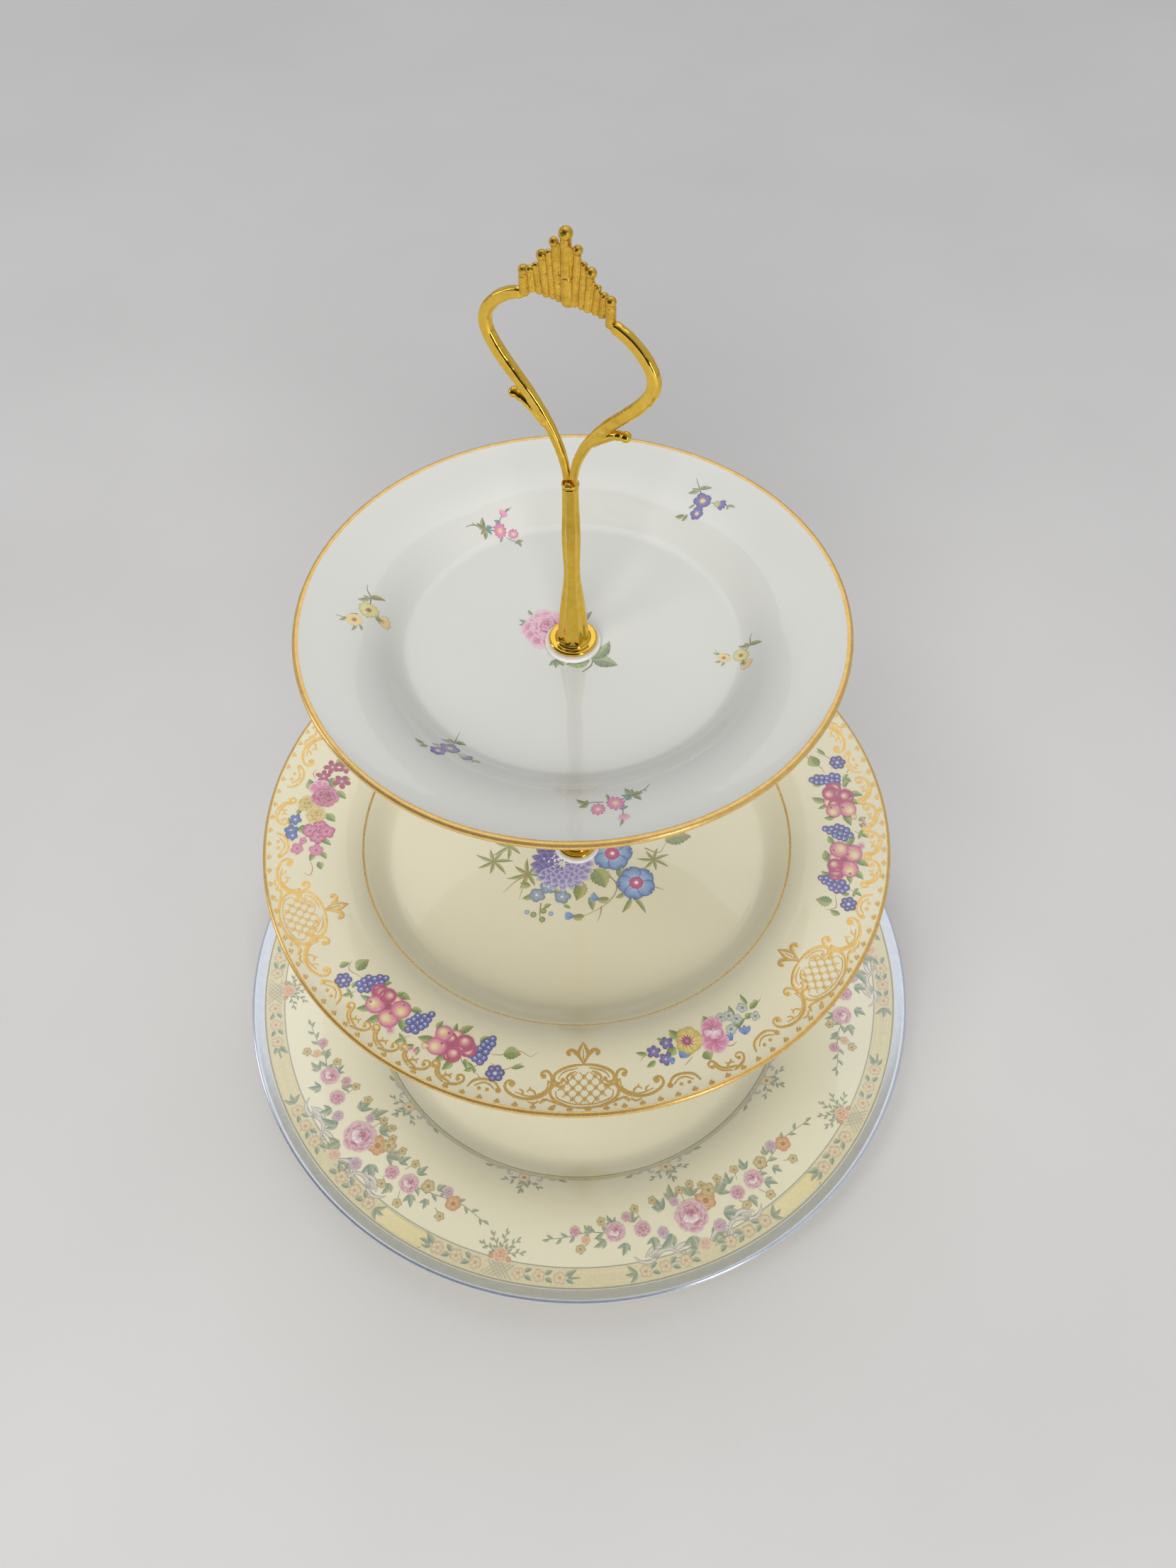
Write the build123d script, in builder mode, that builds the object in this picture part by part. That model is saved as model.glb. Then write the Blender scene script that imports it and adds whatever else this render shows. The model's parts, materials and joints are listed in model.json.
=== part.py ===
from build123d import *

import os
from math import cos, radians

# Three-tier cake stand: three china plates clamped on threaded, faceted posts under a crown handle.
# Millimetres. The stand's axis is Z. The origin is on the table under the centre of the bottom plate's
# foot ring. The handle's loop lies in the XZ plane.

# ---- driving dimensions -------------------------------------------------------------------------
tier_pitch = 106.0  # from one plate's floor to the next
bottom_floor = 9.0  # eating surface of the bottom plate above the table
floor_thickness = 4.0
foot_ring_width = 4.0
foot_ring_corner = 0.8

gasket_radius = 8.2
gasket_thickness = 1.3
bottom_gasket_thickness = 1.0
washer_radius = 7.6
washer_thickness = 1.0

stud_radius = 2.5  # M5 thread, at its outside
thread_clearance = 0.05
stud_clearance_hole = 2.9  # through washers and gaskets
plate_hole = 4.0
screw_head_radius = 5.0
screw_head_height = 2.0
screw_reach = 9.0  # thread inside the post
socket_extra = 1.0  # socket depth beyond the thread's end
stud_grip = 11.0  # thread held in the post below

flange_radius = 7.15
flange_thickness = 1.6
facets = 8
facet_clocking = 8.5  # degrees from the handle's plane to the nearest ridge
post_top_radius = 4.7
post_top_thickness = 1.2
upper_post_length = 58.2

arm_stem_radius = 0.9
arm_stem_offset = 0.92
arm_neck_radius = 1.2
arm_radius = 1.55
arm_end_radius = 1.3
stem_depth = 6.0
stem_clearance = 0.02
collar_radius = 2.45
collar_height = 1.3

thorn_radius = 0.85
thorn_ball_radius = 1.15

crown_base_z = 334.2
crown_post_x = 11.6
crown_post_radius = 1.15
crown_post_foot_z = 331.4
crown_post_top_z = 338.0
crown_post_ball_radius = 1.3
crown_web_thickness = 1.3

# Heights that follow from the ones above
middle_floor = bottom_floor + tier_pitch
top_floor = middle_floor + tier_pitch
upper_post_z = top_floor + gasket_thickness
handle_z = upper_post_z + upper_post_length
post_length = tier_pitch - 2 * gasket_thickness - floor_thickness - washer_thickness

# Faceted shaft: height above the post's underside, width across the shaft
shaft_foot = [
    (1.3, 9.6),
    (2.7, 9.0),
    (4.7, 8.6),
    (10.2, 7.7),
    (15.7, 6.7),
    (21.2, 5.4),
    (26.7, 4.5),
    (32.2, 4.6),
    (39.7, 5.05),
]
shaft_to_handle = [(45.7, 4.9), (50.7, 4.6), (upper_post_length, 4.4)]
shaft_to_plate = [
    (50.0, 4.9),
    (61.0, 4.6),
    (71.0, 4.9),
    (79.0, 6.0),
    (87.0, 7.4),
    (post_length - post_top_thickness, 8.2),
]

# One arm of the handle, from the post's socket up to the crown: X, Z
arm_route = [
    (arm_stem_offset, handle_z - stem_depth),
    (arm_stem_offset + 0.03, 281.6),
    (1.75, 287.4),
    (3.9, 293.3),
    (11.2, 304.1),
    (19.5, 313.0),
    (23.4, 321.6),
    (19.3, 328.3),
    (crown_post_x, 332.2),
]
thorn_route = [(6.4, 296.6), (9.6, 299.7), (12.9, 302.0), (16.3, 303.0)]

# Crown rays right of centre: foot X, tip X, tip Z, foot radius, tip radius, ball radius
crown_rays = [
    (1.7, 3.1, 346.8, 1.15, 0.8, 1.05),
    (3.2, 4.5, 344.2, 0.95, 0.55, 0.65),
    (4.8, 6.5, 342.4, 1.2, 0.9, 1.2),
    (6.8, 8.3, 339.8, 1.0, 0.6, 0.65),
    (8.8, 9.9, 338.0, 1.15, 0.8, 0.85),
]
crown_centre_ray = (0.0, 0.0, 349.4, 1.55, 1.2, 1.65)
# X and Z of the steps along the upper edge of the web between the rays, from an end post to the centre
crown_web_steps = [
    (11.6, 335.6),
    (9.9, 337.4),
    (8.3, 339.2),
    (6.5, 341.4),
    (4.5, 343.6),
    (3.1, 345.4),
    (1.6, 347.2),
]

parts_made = []


def keep(builder, name):
    """Label a finished piece and write it to its own file."""
    builder.part.label = name
    os.makedirs("parts", exist_ok=True)
    export_step(builder.part, f"parts/{name}.step")
    parts_made.append(builder.part)


def ring(z, outer, inner, height):
    """A flat ring with its underside at z."""
    with BuildPart() as piece:
        with BuildSketch(Plane.XY.offset(z)):
            Circle(outer)
            Circle(inner, mode=Mode.SUBTRACT)
        extrude(amount=height)
        chamfer(piece.edges().filter_by(GeomType.CIRCLE), length=0.15)
    return piece


def plate(floor_z, foot_height, foot_radius, floor_radius, well, rim, edge_thickness):
    """A china plate, turned from its half section.

    well is the (radius, height above the floor) of the line between well and rim, rim the same for
    the top of the plate's edge. The foot ring stands foot_height below the underside.
    """
    well_radius, well_rise = well
    rim_radius, rim_rise = rim
    edge = edge_thickness / 2
    under = floor_z - floor_thickness
    rim_top = floor_z + rim_rise
    foot_inner = foot_radius - foot_ring_width
    with BuildPart() as piece:
        with BuildSketch(Plane.XZ):
            with BuildLine():
                Line((plate_hole, under), (plate_hole, floor_z))
                Line((plate_hole, floor_z), (floor_radius, floor_z))
                top = Spline(
                    (floor_radius, floor_z),
                    (well_radius, floor_z + well_rise),
                    (rim_radius - edge, rim_top),
                    tangents=[(1, 0), (1, 0.26)],
                )
                lip = ThreePointArc(
                    top @ 1,
                    (rim_radius, rim_top - edge),
                    (rim_radius - edge * 1.2, rim_top - edge_thickness),
                )
                below = Spline(
                    lip @ 1,
                    (well_radius + 1.5, floor_z + well_rise - edge_thickness - 0.8),
                    (foot_radius + 1.5, under),
                    tangents=[(-1, -0.26), (-1, -0.25)],
                )
                Polyline(
                    below @ 1,
                    (foot_radius, under - foot_height + foot_ring_corner),
                    (foot_radius - foot_ring_corner, under - foot_height),
                    (foot_inner + foot_ring_corner, under - foot_height),
                    (foot_inner, under - foot_height + foot_ring_corner),
                    (foot_inner - 1.0, under),
                    (plate_hole, under),
                )
            make_face()
        revolve(axis=Axis.Z)
    return piece


def faceted_shaft(z, stations):
    """A soft eight-sided shaft lofted through (height above z, width) stations."""
    with BuildPart() as shaft:
        for height, width in stations:
            with BuildSketch(Plane.XY.offset(z + height)):
                RegularPolygon(width / 2 / cos(radians(90 / facets)), facets, rotation=facet_clocking)
        loft()
    return shaft.part


def post(z, stations, length, top_disc, socket_radius, socket_depth):
    """A post with a rolled flange foot, a faceted shaft, the stud's socket in its foot and its top socket."""
    with BuildPart() as piece:
        with BuildSketch(Plane.XZ):
            with BuildLine():
                Polyline(
                    (0, z + flange_thickness + 0.2),
                    (0, z),
                    (flange_radius - 0.4, z),
                )
                ThreePointArc(
                    (flange_radius - 0.4, z),
                    (flange_radius, z + 0.8),
                    (flange_radius - 0.5, z + flange_thickness),
                )
                ThreePointArc(
                    (flange_radius - 0.5, z + flange_thickness),
                    (flange_radius - 1.3, z + flange_thickness - 0.45),
                    (flange_radius - 2.2, z + flange_thickness + 0.2),
                )
                Line((flange_radius - 2.2, z + flange_thickness + 0.2), (0, z + flange_thickness + 0.2))
            make_face()
        revolve(axis=Axis.Z)
        add(faceted_shaft(z, stations))
        if top_disc:
            with BuildSketch(Plane.XY.offset(z + length)):
                Circle(post_top_radius)
            extrude(amount=-post_top_thickness)
        with BuildSketch(Plane.XY.offset(z + length)):
            Circle(socket_radius)
        extrude(amount=-socket_depth, mode=Mode.SUBTRACT)
        with BuildSketch(Plane.XY.offset(z)):
            Circle(stud_radius + thread_clearance)
        extrude(amount=screw_reach + socket_extra, mode=Mode.SUBTRACT)
    return piece


def plate_post(z):
    """A post that carries the plate above it."""
    return post(z, shaft_foot + shaft_to_plate, post_length, True, stud_radius, stud_grip)


def stud(post_top_z):
    """A double-ended stud: held in the post below, reaching into the foot of the post above."""
    start = post_top_z - stud_grip
    reach = stud_grip + washer_thickness + 2 * gasket_thickness + floor_thickness + screw_reach
    with BuildPart() as piece:
        with BuildSketch(Plane.XY.offset(start)):
            Circle(stud_radius)
        extrude(amount=reach)
        chamfer(piece.edges().filter_by(GeomType.CIRCLE), length=0.4)
    return piece


def round_bar(route, tangents, radii_along):
    """A bar through XZ points, its section a circle whose radius is given at stations along it."""
    with BuildPart() as bar:
        with BuildLine(Plane.XZ) as line:
            path = Spline(*route, tangents=tangents)
        for at, radius in radii_along:
            with BuildSketch(Plane(origin=path @ at, z_dir=path % at)):
                Circle(radius)
        sweep(path=line.line, multisection=True)
    return bar.part


def mirrored(solid, side):
    """The solid itself on the right, its mirror image on the left."""
    return solid if side > 0 else solid.mirror(Plane.YZ)


def handle_arm(side):
    """One looping arm with its stem and its thorn."""
    arm = round_bar(
        arm_route,
        [(0, 1), (-1, 0.15)],
        [
            (0.0, arm_stem_radius),
            (0.08, arm_stem_radius),
            (0.27, arm_neck_radius),
            (0.62, arm_radius),
            (1.0, arm_end_radius),
        ],
    )
    thorn = round_bar(thorn_route, [(0.5, 1), (1, 0)], [(0.0, thorn_radius), (1.0, thorn_radius)])
    tip_x, tip_z = thorn_route[-1]
    with BuildPart() as piece:
        add(mirrored(arm, side))
        add(mirrored(thorn, side))
        with Locations((side * tip_x, 0, tip_z)):
            Sphere(thorn_ball_radius)
        # the arm's end is cut to the crown post that it is brazed against
        with Locations((side * crown_post_x, 0, crown_post_foot_z)):
            Cylinder(
                crown_post_radius + stem_clearance,
                crown_post_top_z - crown_post_foot_z,
                align=(Align.CENTER, Align.CENTER, Align.MIN),
                mode=Mode.SUBTRACT,
            )
    return piece


def crown_ray(foot_x, tip_x, tip_z, foot_radius, tip_radius, ball_radius):
    """One tapered ray of the crown with the ball on its tip. It joins the part being built."""
    ray = Vector(tip_x - foot_x, 0, tip_z - crown_base_z)
    with Locations(Plane(origin=(foot_x, 0, crown_base_z), z_dir=ray)):
        Cone(foot_radius, tip_radius, ray.length, align=(Align.CENTER, Align.CENTER, Align.MIN))
    with Locations((tip_x, 0, tip_z + ball_radius * 0.7)):
        Sphere(ball_radius)


# ---- bottom tier --------------------------------------------------------------------------------
bottom_plate = plate(
    bottom_floor,
    foot_height=bottom_floor - floor_thickness,
    foot_radius=76.0,
    floor_radius=75.0,
    well=(86.0, 5.6),
    rim=(133.35, 15.0),
    edge_thickness=2.6,
)
keep(bottom_plate, "bottom_plate")

under_bottom = bottom_floor - floor_thickness
base_gasket = ring(
    under_bottom - bottom_gasket_thickness, gasket_radius, stud_clearance_hole, bottom_gasket_thickness
)
keep(base_gasket, "base_gasket")

base_washer_z = under_bottom - bottom_gasket_thickness - washer_thickness
base_washer = ring(base_washer_z, washer_radius, stud_clearance_hole, washer_thickness)
keep(base_washer, "base_washer")

with BuildPart() as base_screw:
    lower_post_z = bottom_floor + gasket_thickness
    with BuildSketch(Plane.XY.offset(base_washer_z)):
        Circle(screw_head_radius)
    extrude(amount=-screw_head_height)
    fillet(base_screw.faces().sort_by(Axis.Z)[0].edges(), radius=1.2)
    with BuildSketch(Plane.XY.offset(base_washer_z)):
        Circle(stud_radius)
    extrude(amount=lower_post_z + screw_reach - base_washer_z)
    chamfer(base_screw.faces().sort_by(Axis.Z)[-1].edges(), length=0.4)
    with BuildSketch(Plane.XY.offset(base_washer_z - screw_head_height)):
        Rectangle(5.2, 0.9)
        Rectangle(0.9, 5.2)
    extrude(amount=1.1, mode=Mode.SUBTRACT)
keep(base_screw, "base_screw")

lower_gasket = ring(bottom_floor, gasket_radius, stud_clearance_hole, gasket_thickness)
keep(lower_gasket, "lower_gasket")

lower_post = plate_post(lower_post_z)
keep(lower_post, "lower_post")

# ---- middle and top tiers -----------------------------------------------------------------------
plates = {
    "middle": plate(
        middle_floor,
        foot_height=3.0,
        foot_radius=60.0,
        floor_radius=64.0,
        well=(74.65, 8.4),
        rim=(108.1, 15.6),
        edge_thickness=2.4,
    ),
    "top": plate(
        top_floor,
        foot_height=3.0,
        foot_radius=44.0,
        floor_radius=47.0,
        well=(56.0, 5.4),
        rim=(79.8, 12.0),
        edge_thickness=2.2,
    ),
}
for tier, floor_z in (("middle", middle_floor), ("top", top_floor)):
    under = floor_z - floor_thickness
    gasket_z = under - gasket_thickness
    washer_z = gasket_z - washer_thickness
    keep(stud(washer_z), f"{tier}_stud")
    keep(ring(washer_z, washer_radius, stud_clearance_hole, washer_thickness), f"{tier}_washer")
    keep(ring(gasket_z, gasket_radius, stud_clearance_hole, gasket_thickness), f"{tier}_gasket_below")
    keep(plates[tier], f"{tier}_plate")
    keep(ring(floor_z, gasket_radius, stud_clearance_hole, gasket_thickness), f"{tier}_gasket_above")

middle_post = plate_post(middle_floor + gasket_thickness)
keep(middle_post, "middle_post")

# ---- handle -------------------------------------------------------------------------------------
stem_reach = arm_stem_offset + arm_stem_radius + stem_clearance
upper_post = post(
    upper_post_z, shaft_foot + shaft_to_handle, upper_post_length, False, stem_reach, stem_depth
)
keep(upper_post, "upper_post")

with BuildPart() as handle_collar:
    with BuildSketch(Plane.XZ):
        with BuildLine():
            Line((stem_reach, handle_z), (stem_reach, handle_z + collar_height))
            ThreePointArc(
                (stem_reach, handle_z + collar_height),
                (collar_radius, handle_z + collar_height / 2),
                (stem_reach, handle_z),
            )
        make_face()
    revolve(axis=Axis.Z)
keep(handle_collar, "handle_collar")

for side, name in ((-1, "handle_arm_left"), (1, "handle_arm_right")):
    keep(handle_arm(side), name)

with BuildPart() as crown:
    with BuildSketch(Plane.XZ):
        with BuildLine():
            Polyline(
                (-crown_post_x, crown_base_z),
                *[(-x, z) for x, z in crown_web_steps],
                *[(x, z) for x, z in reversed(crown_web_steps)],
                (crown_post_x, crown_base_z),
                close=True,
            )
        make_face()
    extrude(amount=crown_web_thickness / 2, both=True)
    crown_ray(*crown_centre_ray)
    for foot_x, tip_x, *rest in crown_rays:
        crown_ray(foot_x, tip_x, *rest)
        crown_ray(-foot_x, -tip_x, *rest)
    for side in (-1, 1):
        with Locations((side * crown_post_x, 0, crown_post_foot_z)):
            Cylinder(
                crown_post_radius,
                crown_post_top_z - crown_post_foot_z,
                align=(Align.CENTER, Align.CENTER, Align.MIN),
            )
        with Locations((side * crown_post_x, 0, crown_post_top_z)):
            Sphere(crown_post_ball_radius)
keep(crown, "crown")

for made in parts_made:
    size = made.bounding_box().size
    print(f"{made.label:22s} {size.X:7.2f} {size.Y:7.2f} {size.Z:7.2f} {made.volume:10.0f} mm3")
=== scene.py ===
"""The looks of the three-tier cake stand: glazed china, gilding, printed flowers and gold-plated metal."""

import json
import random
from math import cos, degrees, pi, radians, sin, tau

import bpy
import numpy as np
from mathutils import Matrix, Vector, noise

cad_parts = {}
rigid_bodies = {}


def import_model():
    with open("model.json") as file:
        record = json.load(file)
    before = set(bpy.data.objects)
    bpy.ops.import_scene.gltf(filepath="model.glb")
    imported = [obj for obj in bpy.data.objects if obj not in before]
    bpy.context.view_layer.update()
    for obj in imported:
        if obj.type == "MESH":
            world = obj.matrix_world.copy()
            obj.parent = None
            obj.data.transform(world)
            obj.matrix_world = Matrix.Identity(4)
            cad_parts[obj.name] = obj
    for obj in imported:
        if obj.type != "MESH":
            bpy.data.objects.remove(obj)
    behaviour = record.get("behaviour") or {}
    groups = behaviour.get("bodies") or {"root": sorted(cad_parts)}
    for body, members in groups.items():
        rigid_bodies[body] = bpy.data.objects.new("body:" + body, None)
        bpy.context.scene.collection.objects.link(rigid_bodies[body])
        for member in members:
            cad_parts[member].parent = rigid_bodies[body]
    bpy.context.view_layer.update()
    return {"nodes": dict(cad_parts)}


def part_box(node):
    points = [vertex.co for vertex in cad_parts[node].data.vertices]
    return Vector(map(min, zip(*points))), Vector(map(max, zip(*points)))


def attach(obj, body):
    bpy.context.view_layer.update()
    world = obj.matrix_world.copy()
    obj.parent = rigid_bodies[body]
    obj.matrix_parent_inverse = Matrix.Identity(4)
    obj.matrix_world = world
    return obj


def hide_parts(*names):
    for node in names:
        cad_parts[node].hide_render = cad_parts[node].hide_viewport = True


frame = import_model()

MM = 0.001  # meshes are built in millimetres


def node_bottom(node):
    """The height of a CAD node's underside, in millimetres."""
    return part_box(node)[0].z / MM


def node_top(node):
    """The height of a CAD node's top, in millimetres."""
    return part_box(node)[1].z / MM


def node_radius(node):
    """Half the width of a CAD node, in millimetres."""
    low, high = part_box(node)
    return (high.x - low.x) / 2 / MM


# ---- materials ----------------------------------------------------------------------------------
def new_material(name, **sockets):
    """A material with one Principled shader, its plain sockets set by name."""
    material = bpy.data.materials.new(name)
    material.use_nodes = True
    shader = material.node_tree.nodes["Principled BSDF"]
    for socket, value in sockets.items():
        shader.inputs[socket.replace("_", " ")].default_value = value
    return material, shader


def add_node(material, kind, inputs=(), **settings):
    """A shader node with its settings, and its inputs set to a value or linked to another socket."""
    tree = material.node_tree
    node = tree.nodes.new(kind)
    for name, value in settings.items():
        setattr(node, name, value)
    for key, value in dict(inputs).items():
        if isinstance(value, bpy.types.NodeSocket):
            tree.links.new(value, node.inputs[key])
        else:
            node.inputs[key].default_value = value
    return node


def noise_of(material, scale, detail=3.0, roughness=0.5):
    """A noise pattern fixed to the object, scale in lumps per metre."""
    place = add_node(material, "ShaderNodeTexCoord").outputs["Object"]
    pattern = add_node(
        material, "ShaderNodeTexNoise",
        {"Vector": place, "Scale": scale, "Detail": detail, "Roughness": roughness},
    )
    return pattern.outputs["Fac"]


def spread(material, value, low, high, start=0.3, end=0.7):
    """A pattern's middle range stretched to run from low to high."""
    ramp = add_node(
        material, "ShaderNodeMapRange",
        {"Value": value, "From Min": start, "From Max": end, "To Min": low, "To Max": high},
    )
    return ramp.outputs["Result"]


def mix_colours(material, share, first, second):
    """A blend of two colours, each a tuple or a socket."""
    mix = add_node(material, "ShaderNodeMix", data_type="RGBA")
    for index, value in ((0, share), (6, first), (7, second)):
        if isinstance(value, bpy.types.NodeSocket):
            material.node_tree.links.new(value, mix.inputs[index])
        elif index:
            mix.inputs[index].default_value = (*value, 1.0)
        else:
            mix.inputs[index].default_value = value
    return mix.outputs[2]


def bumped(material, shader, *layers, socket="Normal"):
    """Adds bumps to a shader: each layer is (pattern socket, depth in metres)."""
    normal = None
    for pattern, depth in layers:
        inputs = {"Height": pattern, "Distance": depth, "Strength": 1.0}
        if normal:
            inputs["Normal"] = normal
        normal = add_node(material, "ShaderNodeBump", inputs).outputs["Normal"]
    material.node_tree.links.new(normal, shader.inputs[socket])


def feed(material, shader, **sockets):
    """Links patterns to a shader's sockets."""
    for name, value in sockets.items():
        material.node_tree.links.new(value, shader.inputs[name.replace("_", " ")])


def glazed(material, shader, colour, scale, rough_low, rough_high):
    """Colour and polish under a glaze that has a faint orange peel and slow waves."""
    polish = spread(material, noise_of(material, scale), rough_low, rough_high)
    feed(material, shader, Base_Color=colour, Roughness=polish)
    bumped(material, shader, (noise_of(material, 900.0, 2.0), 0.000012))
    bumped(material, shader, (noise_of(material, 120.0, 2.0), 0.00003), socket="Coat Normal")
    return material


def china(name, pale, deep, speck):
    """Glazed china: a slow drift of colour under the glaze, and a few iron specks."""
    material, shader = new_material(name, Coat_Roughness=0.02, **GLAZE)
    drift = spread(material, noise_of(material, 14.0, 2.0), 0.0, 1.0)
    body = mix_colours(material, drift, pale, deep)
    grains = spread(material, noise_of(material, 2600.0, 1.0), 0.0, 0.30, 0.79, 0.84)
    return glazed(material, shader, mix_colours(material, grains, body, speck), 60.0, 0.16, 0.26)


WEAR_SCALE = 400.0


def metal(name, bright, dull, rough_low, rough_high, bumps, metallic=1.0):
    """A plated or gilded metal: its colour and polish vary with handling, over fine bumps."""
    material, shader = new_material(name, Metallic=metallic)
    wear = spread(material, noise_of(material, WEAR_SCALE, 4.0, 0.6), 0.0, 1.0)
    feed(material, shader, Base_Color=mix_colours(material, wear, bright, dull))
    smears = noise_of(material, WEAR_SCALE * 2.7, 5.0, 0.65)
    feed(material, shader, Roughness=spread(material, smears, rough_low, rough_high))
    bumped(material, shader, *[(noise_of(material, s, 3.0), depth) for s, depth in bumps])
    return material


def printed(name):
    """Overglaze print: each painted shape's own colour, broken by the dots of the print, under glaze."""
    material, shader = new_material(name, Coat_Roughness=0.03, **GLAZE)
    paint = add_node(material, "ShaderNodeVertexColor", layer_name="Paint").outputs["Color"]
    grain = spread(material, noise_of(material, 5200.0, 2.0), 0.0, 0.16)
    paler = mix_colours(material, grain, paint, (0.95, 0.93, 0.88))
    shade = spread(material, noise_of(material, 900.0, 2.0), 0.0, 0.10)
    colour = mix_colours(material, shade, paler, (0.25, 0.2, 0.2))
    return glazed(material, shader, colour, 300.0, 0.18, 0.3)


def soft_plastic(name):
    """The milky plastic of the soft washers, with a fine matte tooth and handling marks."""
    material, shader = new_material(name, IOR=1.46)
    marks = spread(material, noise_of(material, 350.0, 3.0), 0.0, 1.0)
    feed(
        material, shader, Base_Color=mix_colours(material, marks, (0.86, 0.84, 0.80), (0.76, 0.74, 0.70)),
        Roughness=spread(material, noise_of(material, 1500.0), 0.42, 0.6),
    )
    bumped(material, shader, (noise_of(material, 4000.0, 2.0), 0.00002))
    return material


GLAZE = {"IOR": 1.52, "Coat_Weight": 1.0, "Coat_IOR": 1.5}
white_china = china("white_china", (0.72, 0.72, 0.675), (0.69, 0.69, 0.64), (0.40, 0.38, 0.32))
ivory_china = china("ivory_china", (0.84, 0.785, 0.565), (0.81, 0.75, 0.53), (0.50, 0.38, 0.22))
cream_china = china("cream_china", (0.89, 0.85, 0.665), (0.86, 0.82, 0.63), (0.45, 0.36, 0.24))
polished_gold = metal(
    "polished_gold", (0.95, 0.65, 0.11), (0.86, 0.53, 0.06), 0.05, 0.13,
    [(500.0, 0.00004), (3000.0, 0.000006)],
)
cast_gold = metal(
    "cast_gold", (0.90, 0.58, 0.09), (0.70, 0.41, 0.05), 0.16, 0.34, [(1300.0, 0.00018), (4500.0, 0.00006)],
)
gilding = metal(
    "gilding", (0.88, 0.60, 0.22), (0.78, 0.49, 0.15), 0.16, 0.34, [(1200.0, 0.00001)], metallic=0.75,
)
platinum = metal(
    "platinum", (0.69, 0.73, 0.81), (0.63, 0.67, 0.75), 0.17, 0.24, [(150.0, 0.00001)], metallic=0.75,
)
stud_steel = metal("stud_steel", (0.62, 0.61, 0.59), (0.48, 0.47, 0.45), 0.25, 0.45, [(4000.0, 0.00001)])
gasket_plastic = soft_plastic("gasket_plastic")
flower_print = printed("flower_print")


# ---- mesh helpers -------------------------------------------------------------------------------
def add_object(name, data):
    """A new object in the scene."""
    made = bpy.data.objects.new(name, data)
    bpy.context.scene.collection.objects.link(made)
    return made


def make_piece(name, points, faces, material, body, slot, replaces=(), colours=None, normals=None):
    """A smooth-shaded piece from points in millimetres, riding on a body."""
    mesh = bpy.data.meshes.new(name)
    mesh.from_pydata((np.asarray(points, float) * MM).tolist(), [], faces)
    mesh.polygons.foreach_set("use_smooth", [True] * len(mesh.polygons))
    if colours is not None:
        paint = mesh.color_attributes.new("Paint", "FLOAT_COLOR", "POINT")
        rgba = np.c_[np.asarray(colours, float), np.ones(len(colours))]
        paint.data.foreach_set("color", rgba.astype(np.float32).ravel())
    if normals is not None:
        mesh.normals_split_custom_set_from_vertices(np.asarray(normals).tolist())
    mesh.materials.append(material)
    mesh.update()
    piece = add_object(name, mesh)
    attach(piece, body)
    if replaces:
        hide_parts(*replaces)


def grid_faces(rows, columns, wrap_rows=False, start=0, open_rows=False):
    """Quads joining rows of points, each row a closed ring unless the rows are open."""
    faces = []
    for row in range(rows if wrap_rows else rows - 1):
        above = (row + 1) % rows
        for column in range(columns - 1 if open_rows else columns):
            beside = (column + 1) % columns
            corners = (row, column), (row, beside), (above, beside), (above, column)
            faces.append(tuple(start + i * columns + j for i, j in corners))
    return faces


def cap_ends(faces, rings, segments, low_cap, high_cap, start=0):
    """Closes a tube of rings with a fan of triangles to a point at each end."""
    last = start + (rings - 1) * segments
    for i in range(segments):
        beside = (i + 1) % segments
        faces.append((low_cap, start + beside, start + i))
        faces.append((high_cap, last + i, last + beside))


def smooth_line(points, start, end, count):
    """The cubic spline through points that leaves along start and arrives along end, as count points."""
    points = np.asarray(points, float)
    steps = np.linalg.norm(np.diff(points, axis=0), axis=1)
    knots = np.r_[0, np.cumsum(steps)]
    last = len(points) - 1
    matrix = np.zeros((last + 1, last + 1))
    right = np.zeros_like(points)
    matrix[0, 0] = matrix[last, last] = 1
    right[0] = np.asarray(start, float) / np.linalg.norm(start)
    right[last] = np.asarray(end, float) / np.linalg.norm(end)
    for i in range(1, last):
        before, after = steps[i - 1], steps[i]
        matrix[i, i - 1 : i + 2] = 1 / before, 2 / before + 2 / after, 1 / after
        right[i] = 3 * ((points[i] - points[i - 1]) / before**2 + (points[i + 1] - points[i]) / after**2)
    slopes = np.linalg.solve(matrix, right)
    at = np.linspace(0, knots[-1], count)
    piece = np.clip(np.searchsorted(knots, at, side="right") - 1, 0, last - 1)
    width = steps[piece][:, None]
    t = (at - knots[piece])[:, None] / width
    return (
        (2 * t**3 - 3 * t**2 + 1) * points[piece] + (t**3 - 2 * t**2 + t) * width * slopes[piece]
        + (3 * t**2 - 2 * t**3) * points[piece + 1] + (t**3 - t**2) * width * slopes[piece + 1]
    )


def arc(centre, radius, start, end, count):
    """Points of an arc, angles in degrees."""
    angles = np.radians(np.linspace(start, end, count))
    return np.c_[centre[0] + radius * np.cos(angles), centre[1] + radius * np.sin(angles)]


def straight(start, end, count=8):
    """Points from start to end."""
    return np.linspace(start, end, count)


def round_angles(segments):
    """Evenly spaced angles round a circle."""
    return np.arange(segments) * tau / segments


def ring_points(radius, height, angles):
    """Points at a radius, height and angle about Z."""
    return np.stack([radius * np.cos(angles), radius * np.sin(angles), 0 * radius + height], -1)


def turned(profile, segments, shape=None):
    """Rings of points for a closed (radius, height) profile turned about Z. shape may move them."""
    angles = round_angles(segments)
    radius = np.repeat(profile[:, :1], segments, 1)
    height = np.repeat(profile[:, 1:], segments, 1)
    if shape:
        radius, height = shape(radius, height, angles[None, :])
    points = ring_points(radius, height, angles)
    return points.reshape(-1, 3), grid_faces(len(profile), segments, wrap_rows=True)


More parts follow.
